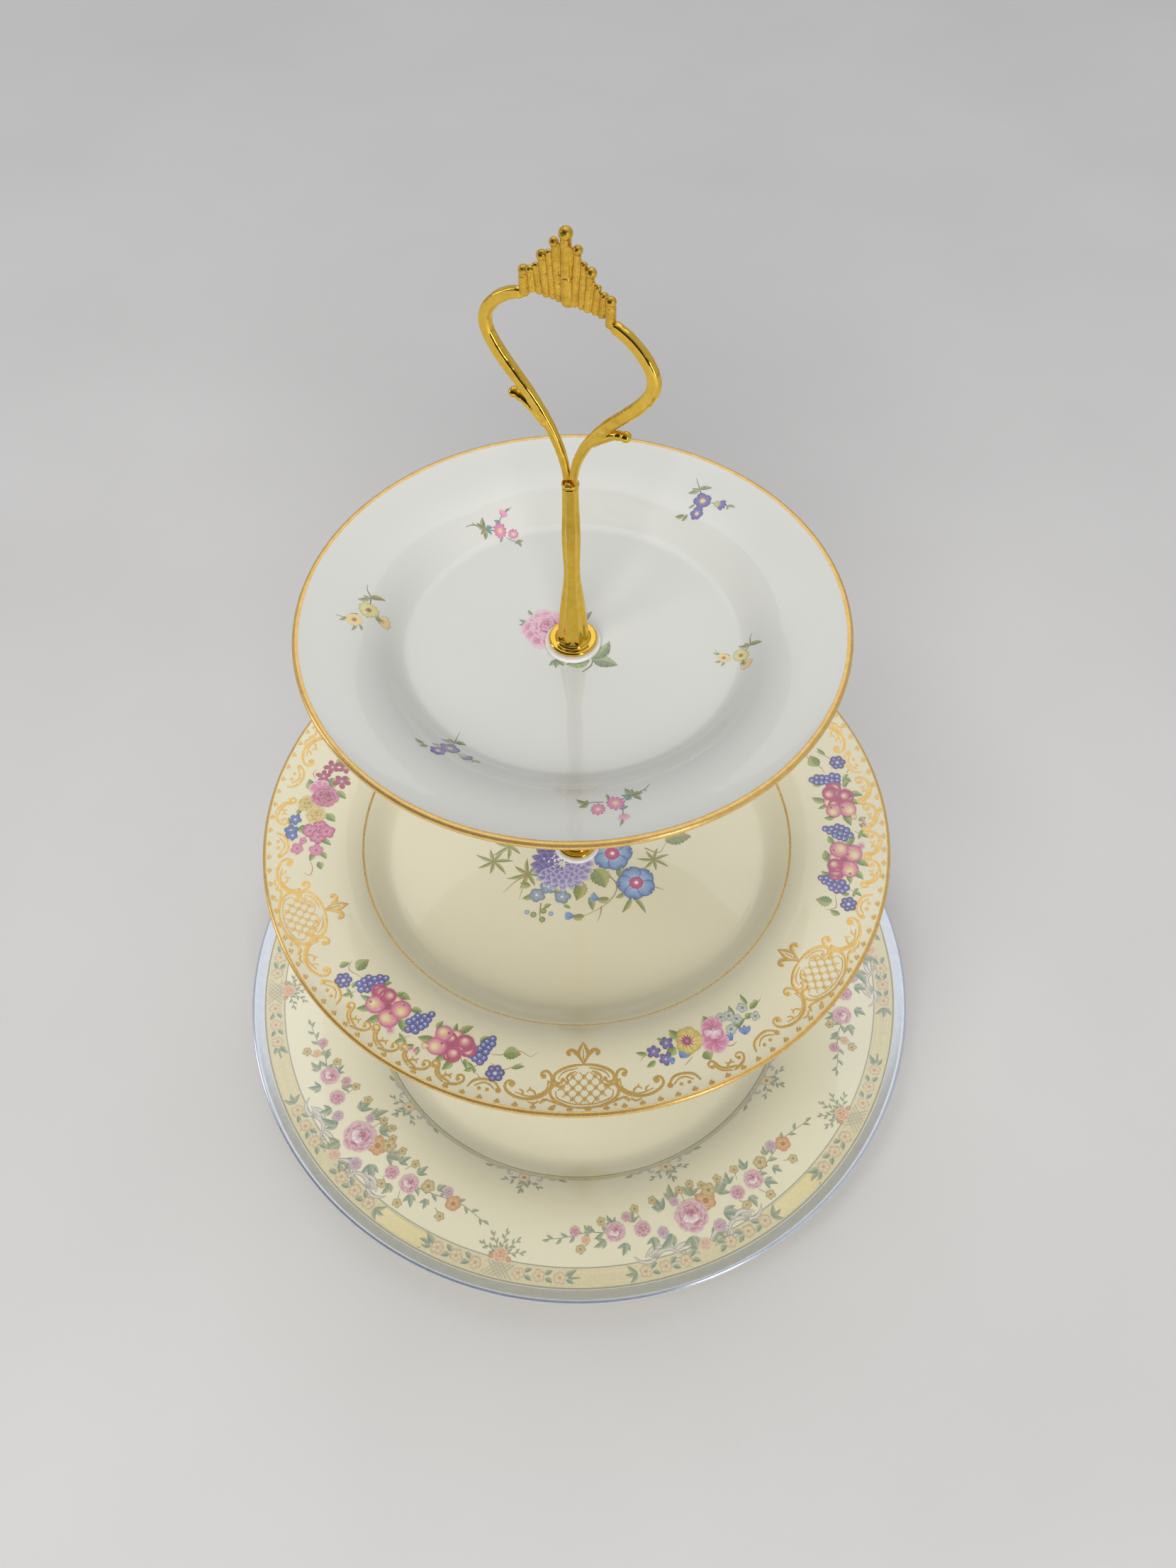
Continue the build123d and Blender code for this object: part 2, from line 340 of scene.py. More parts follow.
# ---- plates -------------------------------------------------------------------------------------
class Plate:
    """A china plate's shape, repeated from the CAD's driving sizes, and its upper face for the decoration."""

    hole = 4.0
    floor_thickness = 4.0
    foot_width = 4.0
    foot_corner = 0.8
    gilding_room = 0.05  # the glaze stops this far inside the CAD's rim, under the gilding
    band_lift = 0.045  # of a metal edge above the glaze
    lip_points = 14

    def __init__(self, node, foot_height, foot_radius, floor_radius, well, rim_rise, edge):
        self.node = node
        self.floor = node_top(node) - rim_rise
        self.rim_radius = node_radius(node) - self.gilding_room
        self.rim_top = node_top(node) - self.gilding_room
        well_radius, well_rise = well
        under = self.floor - self.floor_thickness
        half = edge / 2
        slope = (1, 0.26)
        top = smooth_line(
            [
                (floor_radius, self.floor), (well_radius, self.floor + well_rise),
                (self.rim_radius - half, self.rim_top),
            ],
            (1, 0), slope, 72,
        )
        lip = arc((self.rim_radius - half, self.rim_top - half), half, 90, -85, self.lip_points)
        below = smooth_line(
            [
                (self.rim_radius - edge * 0.55, self.rim_top - edge),
                (well_radius + 1.5, self.floor + well_rise - edge - 0.8), (foot_radius + 1.5, under),
            ],
            (-1, -0.26), (-1, -0.25), 36,
        )
        foot = under - foot_height
        corner = self.foot_corner
        inner = foot_radius - self.foot_width
        ring = np.r_[
            straight((foot_radius + 0.4, under - 0.25), (foot_radius, foot + corner), 4),
            arc((foot_radius - corner, foot + corner), corner, 0, -90, 5),
            arc((inner + corner, foot + corner), corner, -90, -180, 5),
            straight((inner, foot + corner), (inner - 0.8, under - 0.4), 4),
        ]
        bevel = 0.4
        self.face = np.r_[[(0, self.floor)], top, lip[1:]]
        self.rising = self.face[: np.argmax(self.face[:, 0]) + 1]
        self.profile = np.r_[
            arc((self.hole + bevel, self.floor - bevel), bevel, 180, 90, 4),
            straight((self.hole + 1, self.floor), (floor_radius - 0.5, self.floor), 24), top, lip[1:-1],
            below, ring, straight((inner - 1.5, under), (self.hole + 1, under), 12),
            straight((self.hole, under + bevel), (self.hole, self.floor - 2 * bevel), 4),
        ]

    def make(self, material, slot):
        """Makes the plate as a piece that replaces its CAD node."""
        points, faces = turned(self.profile, 288)
        make_piece(f"{self.node}_china", points, faces, material, self.node, slot, [self.node])

    def height_at(self, radius):
        """The height of the upper face at a radius."""
        return np.interp(radius, self.rising[:, 0], self.rising[:, 1])

    def surface(self, radius, angle, lift):
        """Points on the upper face and its normals, at an angle in radians and lifted in millimetres."""
        step = 0.2
        slope = np.arctan2(self.height_at(radius + step) - self.height_at(radius - step), 2 * step)
        normal = ring_points(-np.sin(slope), np.cos(slope), angle)
        return ring_points(radius, self.height_at(radius), angle) + normal * lift[..., None], normal

    def edge_band(self, name, width, wrap, material, slot, wobble=0.12):
        """A metal band from width inside the rim, over the lip and on for wrap steps of its arc.

        wobble is how far its inner edge, drawn by hand, strays.
        """
        inner = self.rim_radius - width
        start = np.argmax(self.face[:, 0] > inner + 0.3)
        lip_start = len(self.face) - (self.lip_points - 1)
        line = np.r_[[(inner, self.height_at(inner))], self.face[start : lip_start + wrap]]
        way = np.gradient(line, axis=0)
        way /= np.linalg.norm(way, axis=1)[:, None]
        line = line + self.band_lift * np.c_[-way[:, 1], way[:, 0]]
        segments = 360
        angles = round_angles(segments)
        radius = np.repeat(line[:, :1], segments, 1)
        height = np.repeat(line[:, 1:], segments, 1)
        ragged = [noise.noise(Vector((9 * cos(a), 9 * sin(a), self.floor))) for a in angles]
        shift = wobble * np.array(ragged)
        radius[0] += shift
        height[0] += shift * (line[1, 1] - line[0, 1]) / (line[1, 0] - line[0, 0])
        points = ring_points(radius, height, angles).reshape(-1, 3)
        make_piece(name, points, grid_faces(len(line), segments), material, self.node, slot)


plates = {
    "bottom": Plate("bottom_plate", 5.0, 76.0, 75.0, (86.0, 5.6), 15.0, 2.6),
    "middle": Plate("middle_plate", 3.0, 60.0, 64.0, (74.65, 8.4), 15.6, 2.4),
    "top": Plate("top_plate", 3.0, 44.0, 47.0, (56.0, 5.4), 12.0, 2.2),
}
plates["bottom"].make(cream_china, "cream_china")
plates["middle"].make(ivory_china, "ivory_china")
plates["top"].make(white_china, "white_china")

# ---- drawing ------------------------------------------------------------------------------------
def tone(code):
    """A colour written as six hex digits, as linear light. A colour that is light already stays as it is."""
    if not isinstance(code, str):
        return code
    channel = np.array([int(code[i : i + 2], 16) for i in (0, 2, 4)]) / 255
    return np.where(channel <= 0.04045, channel / 12.92, ((channel + 0.055) / 1.055) ** 2.4)


def blend(share, *tones):
    """The colour at each share of the way through some tones."""
    places = np.linspace(0, 1, len(tones))
    tones = [tone(t) for t in tones]
    return np.stack([np.interp(share, places, [t[c] for t in tones]) for c in range(3)], -1)


def turned_by(points, turn):
    """Flat points turned anticlockwise by an angle in degrees."""
    c, s = cos(radians(turn)), sin(radians(turn))
    x, y = points[..., 0], points[..., 1]
    return np.stack([x * c - y * s, x * s + y * c], -1)


def heading(turn):
    """The unit vector at an angle in degrees."""
    return np.array([cos(radians(turn)), sin(radians(turn))])


class Drawing:
    """Shapes painted one over the next on a flat sheet, in millimetres, X to the right and Y up.

    Each shape is a grid of points with a tone at each one. Its rows are open, or close into rings.
    """

    def __init__(self):
        self.shapes = []

    def add(self, points, tones, closed=False, relief=None):
        """Adds a grid of points, flat unless relief lifts them."""
        lift = np.zeros(points.shape[:2]) if relief is None else relief
        self.shapes.append((points, lift, tones, closed))

    def mirror(self):
        """Adds a copy of every shape, mirrored across the Y axis."""
        self.shapes += [(points * (-1, 1), *rest) for points, *rest in self.shapes]

    def stroke(self, route, widths, *tones, relief=0.0, step=0.5):
        """A brush stroke through a route; widths and tones are spread along it."""
        route = np.asarray(route, float)
        length = np.linalg.norm(np.diff(route, axis=0), axis=1).sum()
        count = int(min(600, max(6, length / step)))
        if len(route) == 2:
            line = np.linspace(*route, count)
        else:
            line = smooth_line(route, route[1] - route[0], route[-1] - route[-2], count)
        way = np.gradient(line, axis=0)
        way /= np.linalg.norm(way, axis=1)[:, None]
        side = np.c_[-way[:, 1], way[:, 0]]
        share = np.linspace(0, 1, count)
        half = np.interp(share, np.linspace(0, 1, len(widths)), widths) / 2
        across = np.linspace(1, -1, 5 if max(widths) > 1.6 or relief else 3)
        points = line[:, None] + side[:, None] * (half[:, None] * across)[..., None]
        colours = np.repeat(blend(share, *tones)[:, None], len(across), 1)
        lift = relief * np.repeat((1 - across**2)[None], count, 0) * np.clip(half * 4, 0, 1)[:, None]
        self.add(points, colours, relief=lift)

    def strokes(self, routes, widths, *tones):
        """The same brush along several routes."""
        for route in routes:
            self.stroke(route, widths, *tones)

    def disc(self, x, y, radius, *tones, shine=(0.0, 0.0), relief=0.0, squash=1.0, turn=0.0):
        """A round dab; tones run from its heart to its edge, and shine shifts the heart."""
        share = np.array([0.03, 0.3, 0.55, 0.8, 1.0])
        angles = np.linspace(0, -tau, 16, endpoint=False)
        ring = np.stack([np.cos(angles), squash * np.sin(angles)], -1)
        points = share[:, None, None] * ring + (1 - share)[:, None, None] * np.asarray(shine)
        colours = np.repeat(blend(share, *tones)[:, None], len(angles), 1)
        lift = relief * np.repeat(1 - share[:, None] ** 2, len(angles), 1)
        self.add(turned_by(points * radius, turn) + (x, y), colours, closed=True, relief=lift)

    def petal(self, x, y, turn, length, width, heart, body, rim, notch=0.0):
        """One petal from (x, y) outwards, its rim in a tone of its own."""
        u = np.linspace(0, 1, 8)[:, None]
        v = np.array([1, 0.72, 0.3, 0, -0.3, -0.72, -1.0])[None]
        heart, body, rim = tone(heart), tone(body), tone(rim)
        half = width / 2 * np.sin(pi * np.clip(u, 0.01, 0.99) ** 1.35) ** 0.6
        out = length * u * (1 - notch * (1 - np.abs(v)) * u**2)
        points = np.stack([out + 0 * v, half * v], -1)
        share = np.clip(u + 0 * v, 0, 1)
        colours = blend(share, heart, body, body)
        edge = np.clip((np.maximum(np.abs(v) + 0 * u, u**1.5 + 0 * v) - 0.62) / 0.38, 0, 1)[..., None]
        vein = (0.10 * np.cos(v * 9) * (1 - u))[..., None]
        colours = np.clip(colours * (1 - edge) + rim * edge + vein * (heart - body), 0, 1)
        self.add(turned_by(points, turn) + (x, y), colours)

    def leaf(self, x, y, turn, length, width, dark, light, bend=0.1, teeth=0, tip=None):
        """A leaf with a pale vein, one half lighter than the other."""
        rows = max(10, 2 * teeth + 3)
        u = np.linspace(0, 1, rows)
        half = width / 2 * np.sin(pi * np.clip(u, 0.01, 0.985) ** 0.8) ** 0.9
        if teeth:
            half *= 1 + 0.12 * np.where(np.arange(rows) % 2, 1, -1)
        v = np.array([1, 0.55, 0.08, 0, -0.08, -0.55, -1.0])
        middle = np.stack([u * length, bend * length * 4 * u * (1 - u)], -1)
        points = middle[:, None] + np.stack([0 * v, v], -1)[None] * half[:, None, None]
        shades = np.array([0.75, 1.0, 0.55, 0.2, 0.35, 0.25, 0.0])
        amount = np.clip(shades[None] + 0.15 * np.cos(u * 26)[:, None] * (np.abs(v) > 0.3), 0, 1)
        dark, light = tone(dark), tone(light)
        colours = dark + (light - dark) * amount[..., None]
        if tip is not None:
            colours = colours + (tone(tip) - colours) * (np.clip(u - 0.6, 0, 1) * 2)[:, None, None]
        self.add(turned_by(points, turn) + (x, y), colours)

    def leaves(self, rows, dark, light, **shape):
        """Leaves, each given as (x, y, turn, length, width)."""
        for row in rows:
            self.leaf(*row, dark, light, **shape)

    def whorl(self, x, y, sizes, breadth, dark, light):
        """Leaves from one point, each given as (turn, length)."""
        for turn, length in sizes:
            self.leaf(x, y, turn, length, length * breadth, dark, light)

    def blossom(self, x, y, radius, petals, heart, body, rim, eye, turn=0.0, notch=0.1, width=1.0):
        """An open flower: a ring of petals and an eye of one or more tones."""
        breadth = width * 2.1 * pi * radius / petals * 0.62
        for k in range(petals):
            reach = radius * (1 + 0.08 * sin(5 * k + turn))
            self.petal(x, y, turn + 360 * k / petals, reach, breadth, heart, body, rim, notch)
        self.disc(x, y, radius * 0.3, *eye)

    def rose(self, x, y, radius, deep, mid, pale, turn=0.0):
        """A full rose: broad outer petals, smaller ones within, and a folded heart off its middle."""
        if radius > 3.5:
            rings = ((7, 1.0, 0.95), (6, 0.8, 0.8), (5, 0.62, 0.66), (4, 0.44, 0.5), (3, 0.28, 0.36))
        else:
            rings = ((6, 1.0, 0.95), (5, 0.74, 0.8), (4, 0.5, 0.6), (3, 0.3, 0.4))
        deep, mid = tone(deep), tone(mid)
        for ring, (count, reach, breadth) in enumerate(rings):
            lean = turned_by(np.array([0.0, 0.06 * radius * ring]), turn) + (x, y)
            for k in range(count):
                angle = turn + 360 * k / count + 41 * ring
                size = radius * (reach + 0.05 * sin(3 * k + ring))
                body = mid if k % 2 else deep * 0.5 + mid * 0.5
                self.petal(*lean, angle, size, radius * breadth, deep, body, pale, 0.12)

    def berry(self, x, y, radius, glint, body, dark, outline):
        """A round berry with a glint high on its left."""
        self.disc(x, y, radius, glint, body, body, dark, outline, shine=(-0.1, 0.15), squash=0.92)
        self.disc(x - 0.15 * radius, y + 0.2 * radius, radius * 0.2, WHITE, glint)

    def sprig(self, route, width, leaf_size, count, dark, light):
        """A thin stem with small leaves on alternate sides."""
        route = np.asarray(route, float)
        self.stroke(route, (width, width * 0.6), dark, dark)
        line = smooth_line(route, route[1] - route[0], route[-1] - route[-2], 40)
        for k in range(count):
            at = int(39 * (k + 0.6) / count)
            way = line[min(39, at + 1)] - line[max(0, at - 1)]
            angle = degrees(np.arctan2(way[1], way[0])) + (42 if k % 2 else -42)
            size = leaf_size * (1 - 0.35 * k / count)
            self.leaf(*line[at], angle, size, size * 0.42, dark, light)
        way = line[-1] - line[-3]
        self.leaf(
            *line[-1], degrees(np.arctan2(way[1], way[0])), leaf_size * 0.7, leaf_size * 0.28, dark, light,
        )


def lay(name, plate, placed, gilded=False):
    """Lays drawings on a plate's face as one printed or gilded piece.

    placed holds (drawing, radius, angle) and may add a turn and a scale. With a radius, Y points to the
    plate's middle and X runs anticlockwise along the circle of that radius. With radius 0, the drawing
    lies round the middle. Each shape lies a step above the one before it.
    """
    points, normals, tones, faces, start = [], [], [], [], 0
    for drawing, radius, angle, *rest in placed:
        turn, scale = rest or (0, 1)
        step = min(LAYER_STEP, LAYER_STACK / len(drawing.shapes))
        for layer, (flat, lift, colours, closed) in enumerate(drawing.shapes):
            flat = turned_by(flat, turn) * scale
            corner = np.diff(flat, axis=0)[:, :-1], np.diff(flat, axis=1)[:-1]
            if (corner[0][..., 0] * corner[1][..., 1] - corner[0][..., 1] * corner[1][..., 0]).sum() > 0:
                flat, lift, colours = flat[:, ::-1], lift[:, ::-1], colours[:, ::-1]
            x, y = flat[..., 0], flat[..., 1]
            if radius:
                out, around = radius - y, radians(angle) + x / radius
            else:
                out, around = np.hypot(x, y), radians(angle) + np.arctan2(y, x)
            height = LOWEST_PRINT + step * layer + lift * scale
            place, normal = plate.surface(out, around, height)
            rows, columns = x.shape
            faces += grid_faces(rows, columns, start=start, open_rows=not closed)
            start += rows * columns
            points.append(place.reshape(-1, 3))
            normals.append(normal.reshape(-1, 3))
            tones.append(colours.reshape(-1, 3))
    points = np.concatenate(points)
    if gilded:
        make_piece(name, points, faces, gilding, plate.node, "gilding")
        return
    paint = {"colours": np.concatenate(tones), "normals": np.concatenate(normals)}
    make_piece(name, points, faces, flower_print, plate.node, "printed_flowers", **paint)


# millimetres from the glaze to a drawing's first shape, from shape to shape, and at most for all of them
LOWEST_PRINT, LAYER_STEP, LAYER_STACK = 0.03, 0.002, 0.2
WHITE = "ffffff"
GOLD = "d8a850"
LEAF_DARK, LEAF_LIGHT = "56742f", "acba62"
STEM_BROWN = "7a6a45"

# ---- top plate: sprigs and a rose ---------------------------------------------------------------
ROSE_DEEP, ROSE_MID, ROSE_PALE = "b03a6c", "d67aa2", "f0cbd9"


def pink_sprig():
    """Two pink daisies and a bud, with leaves at both ends of the stem."""
    d = Drawing()
    dark, light = "5d6b3c", "a5ab72"
    teal = ("4f7a70", "7fa398")
    d.stroke([(11, 4.7), (8.6, 2.9), (5.2, 2.4), (2, 1)], (0.15, 0.42, 0.3), STEM_BROWN, dark)
    d.stroke([(8.6, 2.9), (9.3, 2.2)], (0.3, 0.12), dark, dark)
    d.whorl(5, 2.3, ((110, 3.3), (70, 2.3), (-60, 3.4), (-8, 3)), 0.5, dark, light)
    d.leaf(4.6, 2, 165, 2.6, 1.2, *teal)
    d.leaf(4.8, 2, 215, 2.8, 1.2, *teal)
    d.stroke([(1, -1), (1.3, -3), (0.9, -5)], (0.3, 0.2), dark, dark)
    d.leaf(0.9, -2.6, 20, 2.2, 1.1, *teal)
    d.stroke([(-3, 1), (-6, 1.2), (-8, 0.8)], (0.25, 0.25), dark, dark)
    d.whorl(-7, 0.8, ((150, 3.6), (205, 2.9), (100, 1.7)), 0.42, dark, light)
    d.leaf(-1.2, 1.8, 100, 2.3, 1, dark, light)
    deep, mid, pale = "c14b86", "df86ab", "f3cfdd"
    d.blossom(-4.7, -1.5, 2.1, 10, pale, mid, deep, ("f3e3b0", "e0a5a5"), 10, 0.15, 1.1)
    d.blossom(0, 0, 2.6, 11, pale, mid, deep, ("f0e0a0", "e3b870"), 0, 0.15, 1.1)
    for turn in (-120, -95, -70, -45):
        d.petal(0.9, -4.2, turn, 2.4, 1.1, deep, mid, pale)
    d.leaf(0.6, -6, -110, 2, 0.7, dark, light)
    d.stroke([(0.7, -6.2), (0, -7.2), (-0.4, -8.6)], (0.2, 0.08), STEM_BROWN, STEM_BROWN)
    return d


def purple_sprig():
    """Two purple primroses and one seen from the side."""
    d = Drawing()
    dark, light = "5d6b3c", "aab379"
    deep, mid, pale = "3f3580", "6a5aa6", "a99bd0"
    d.stroke([(6.3, -6.6), (4.6, -4.6), (3.2, -3.3), (1.2, -1)], (0.12, 0.35, 0.3), STEM_BROWN, dark)
    d.whorl(3.1, -3.2, ((50, 3.9), (222, 3.7), (20, 2.6), (245, 2.4)), 0.42, dark, light)
    d.leaf(2.4, 6.4, 25, 3.1, 1.3, dark, light)
    d.leaf(1.6, 5.8, 75, 2.4, 1.2, dark, light, tip="b07a55")
    d.leaf(1.5, 2.2, 60, 2.2, 1, dark, light)
    d.stroke([(-2, -0.6), (-5, -1.6), (-8, -3)], (0.25, 0.2), dark, dark)
    d.leaf(-7.3, -2.9, 200, 2.4, 1, dark, light, tip="b07a55")
    d.leaf(-7.3, -2.9, 120, 1.7, 0.8, dark, light)
    d.blossom(-1.1, 4.4, 2.2, 6, pale, mid, deep, ("efe2a0", "c9a2b0"), 20, 0.2, 1.15)
    d.blossom(0, 0, 2.9, 5, pale, mid, deep, ("efd977", "d9b75a"), 100, 0.2, 1.15)
    for turn in (150, 180, 210, 240):
        d.petal(-4.6, -1.6, turn, 2.6, 1.4, pale, mid, deep)
    d.disc(-4.4, -1.4, 0.9, "d8cf7a", "a5ab5f", squash=1.3, turn=30)
    return d


def yellow_sprig():
    """Two yellow rosettes with dark eyes, and a peach bud."""
    d = Drawing()
    dark, light = "69683a", "aeb06c"
    brown, peach = "74452f", "e9a96c"
    d.stroke([(-8.9, -2.6), (-7.4, -2.3), (-5.2, -0.6), (-2, 0)], (0.12, 0.4, 0.3), STEM_BROWN, dark)
    d.whorl(-4.6, -0.4, ((-60, 3.8), (115, 4.2), (-95, 2.2), (150, 2)), 0.4, dark, light)
    d.leaf(4.5, -5.2, -60, 2.6, 0.9, dark, light)
    d.stroke([(4.6, -4.6), (4.6, -6.6), (4.1, -8.4)], (0.25, 0.1), brown, STEM_BROWN)
    d.leaves(((6.4, -2.6, -20, 2.8, 1), (6.2, -1.6, 20, 2.4, 0.9)), dark, light)
    d.leaf(2.6, -2.4, -80, 2.3, 0.9, brown, light)
    d.leaf(1.6, 2.2, 40, 2.4, 1, dark, light)
    pale, mid, deep = "f2eaa8", "e3d884", "b9b556"
    d.blossom(4.9, -3.2, 2.4, 12, peach, "efcf86", mid, (brown, "c98a55"), 12, 0.1, 1.5)
    d.blossom(0, 0, 2.9, 13, pale, mid, deep, (brown, "b98d45"), 0, 0.1, 1.5)
    for turn in (60, 85, 110, 135):
        d.petal(2.1, 3, turn, 3.4, 1.7, "b9b556", "ecd08a", peach)
    for turn in (70, 97, 124):
        d.stroke([(2.1, 3.1), np.array([2.1, 3.1]) + 1.7 * heading(turn)], (0.3, 0.08), brown, brown)
    d.leaf(2.2, 3.3, -150, 1.6, 1, dark, light)
    return d


def cabbage_rose():
    """A large pink rose beside the post, with toothed leaves on the other side of it."""
    d = Drawing()
    dark, light = "4d6a45", "a8b67c"
    d.stroke([(5.5, -6.6), (5.2, -8.6), (2.5, -11.4)], (0.3, 0.5, 0.25), "6a6a40", "7a7a50")
    d.leaf(5.6, -7, -16, 7.4, 4.2, dark, light, 0.04, 8)
    d.leaf(5.3, -6.4, 52, 8.6, 3.6, dark, light, -0.12, 8)
    d.leaf(4.6, -7.2, 190, 7, 3.4, dark, light, 0.05, 7)
    for turn in (225, 262, 310):
        d.leaf(-4.8, -6.4, turn, 3.3, 1.7, dark, light, 0.05)
    d.leaves(
        (
            (-13.6, 8.4, 150, 2.6, 1.2), (-13.9, 8, 195, 2.2, 1), (-12, 11.4, 120, 2.4, 1.1),
            (3.6, 8.6, 60, 4.4, 1.8),
        ),
        dark, light,
    )
    d.stroke([(4, 5), (6.6, 3.6)], (0.9, 0.3), ROSE_DEEP, ROSE_MID)
    centre = np.array([-7.6, 5.4])
    for k in range(10):
        turn = 140 + 36 * k
        size = 7.7 + 0.5 * sin(2.3 * k)
        d.petal(*centre, turn, size, 6.4, ROSE_DEEP, ROSE_MID, ROSE_PALE, 0.14)
        for offset in (-15, -7, 1, 9, 16):
            start = centre + 4.9 * heading(turn + offset)
            end = centre + (6.6 + 0.4 * sin(k + offset)) * heading(turn + offset)
            d.stroke([start, end], (0.15, 0.32, 0.1), ROSE_DEEP, ROSE_MID)
    heart = centre + (0.4, 0.8)
    d.rose(*heart, 5.6, ROSE_DEEP, ROSE_MID, ROSE_PALE, turn=20)
    for k in range(7):
        bend = [heart + (2.9 - 0.3 * k) * heading(70 * k + t) for t in (0, 30, 60)]
        d.stroke(bend, (0.1, 0.35, 0.1), "8d2450", ROSE_DEEP)
    return d


top_sprigs = {"pink": pink_sprig(), "purple": purple_sprig(), "yellow": yellow_sprig()}
lay(
    "top_plate_sprigs", plates["top"],
    [
        (top_sprigs["pink"], 65.6, -47.6), (top_sprigs["pink"], 51.2, 149.2, -47, 0.85),
        (top_sprigs["purple"], 64.4, 84.1), (top_sprigs["purple"], 53.3, -96.3, 165, 0.95),
        (top_sprigs["yellow"], 59.8, -153.4), (top_sprigs["yellow"], 48.9, 25.9, 138, 0.85),
    ],
)
HANDLE_TURN = 33.5  # degrees from the picture plane to the handle's plane
lay("top_plate_rose", plates["top"], [(cabbage_rose(), 0, HANDLE_TURN)])
plates["top"].edge_band("top_plate_gilt_edge", 1.8, 9, gilding, "gilding")

# ---- middle plate: garlands, bouquets and raised gilding ----------------------------------------
BERRY = ("c3ccf0", "6e7ac0", "36418f", "232a6c")
BERRY_VIOLET = ("cbc4ea", "7d75b8", "463f8c", "2f2a6a")
FRUIT_DEEP, FRUIT_RED, FRUIT_PINK = "a3285a", "c44876", "dd7f9f"
FRUIT_CREAM, FRUIT_YELLOW, FRUIT_PEACH = "f6eed0", "ecd98c", "e9ab94"
TENDRIL = "b58355"
LILAC = ("4a3a86", "8c7fc0", "dcd6ee")


def grapes(d, start, way, rows=(2, 3, 3, 2, 2, 1)):
    """A tapering bunch of berries from its wide end out along a heading in degrees."""
    along, side = heading(way), heading(way + 90)
    berries = []
    for i, count in enumerate(rows):
        for j in range(count):
            across = (j - (count - 1) / 2) * 1.95 + picks.gauss(0, 0.15)
            place = np.array(start) + along * (1.75 * i + picks.gauss(0, 0.15)) + side * across
            berries.append((picks.random(), *place))
    for draw, x, y in sorted(berries):
        d.berry(x, y, 1.3, *(BERRY_VIOLET if draw < 0.35 else BERRY))


def berry_flower(d, x, y, radius, turn=0):
    """A small blue flower of six round petals."""
    for k in range(6):
        place = np.array([x, y]) + radius * 0.64 * heading(turn + 60 * k)
        d.disc(*place, radius * 0.42, "b9bde4", "6a68ac", "3f3a80", "2f2a66")
    d.disc(x, y, radius * 0.3, WHITE, "b4bbe6", "4a4a98")


def fruit(d, x, y, radius, cheek, kind="red", calyx=None):
    """An apple-like fruit with a pale cheek towards an angle, and perhaps its calyx."""
    shine = tuple(0.38 * heading(cheek))
    if kind == "red":
        tones = (FRUIT_CREAM, FRUIT_PEACH, FRUIT_RED, FRUIT_DEEP, FRUIT_RED)
    else:
        tones = (FRUIT_CREAM, FRUIT_YELLOW, FRUIT_PEACH, FRUIT_PINK, FRUIT_RED)
    d.disc(x, y, radius, *tones, shine=shine, squash=0.93)
    spot = np.array([x, y]) + 0.62 * radius * heading(cheek + 150)
    bow = [spot + radius * 0.3 * heading(cheek + 60), spot, spot + radius * 0.3 * heading(cheek - 120)]
    d.stroke(bow, (0.1, 0.3, 0.1), FRUIT_PINK, FRUIT_CREAM)
    if calyx is not None:
        spot = np.array([x, y]) + 0.55 * radius * heading(calyx)
        for k in range(5):
            d.stroke([spot, spot + 0.7 * heading(calyx + 72 * k)], (0.35, 0.1), "6f3d28", "8f5a3a")


def tripod(d, x, y, turn, size):
    """Three leaflets on a short stem."""
    d.stroke([(x, y), np.array([x, y]) - size * 0.7 * heading(turn)], (0.2, 0.1), TENDRIL, TENDRIL)
    for swing, share in ((0, 1), (75, 0.75), (-75, 0.75)):
        d.leaf(x, y, turn + swing, size * share, size * share * 0.5, LEAF_DARK, LEAF_LIGHT)


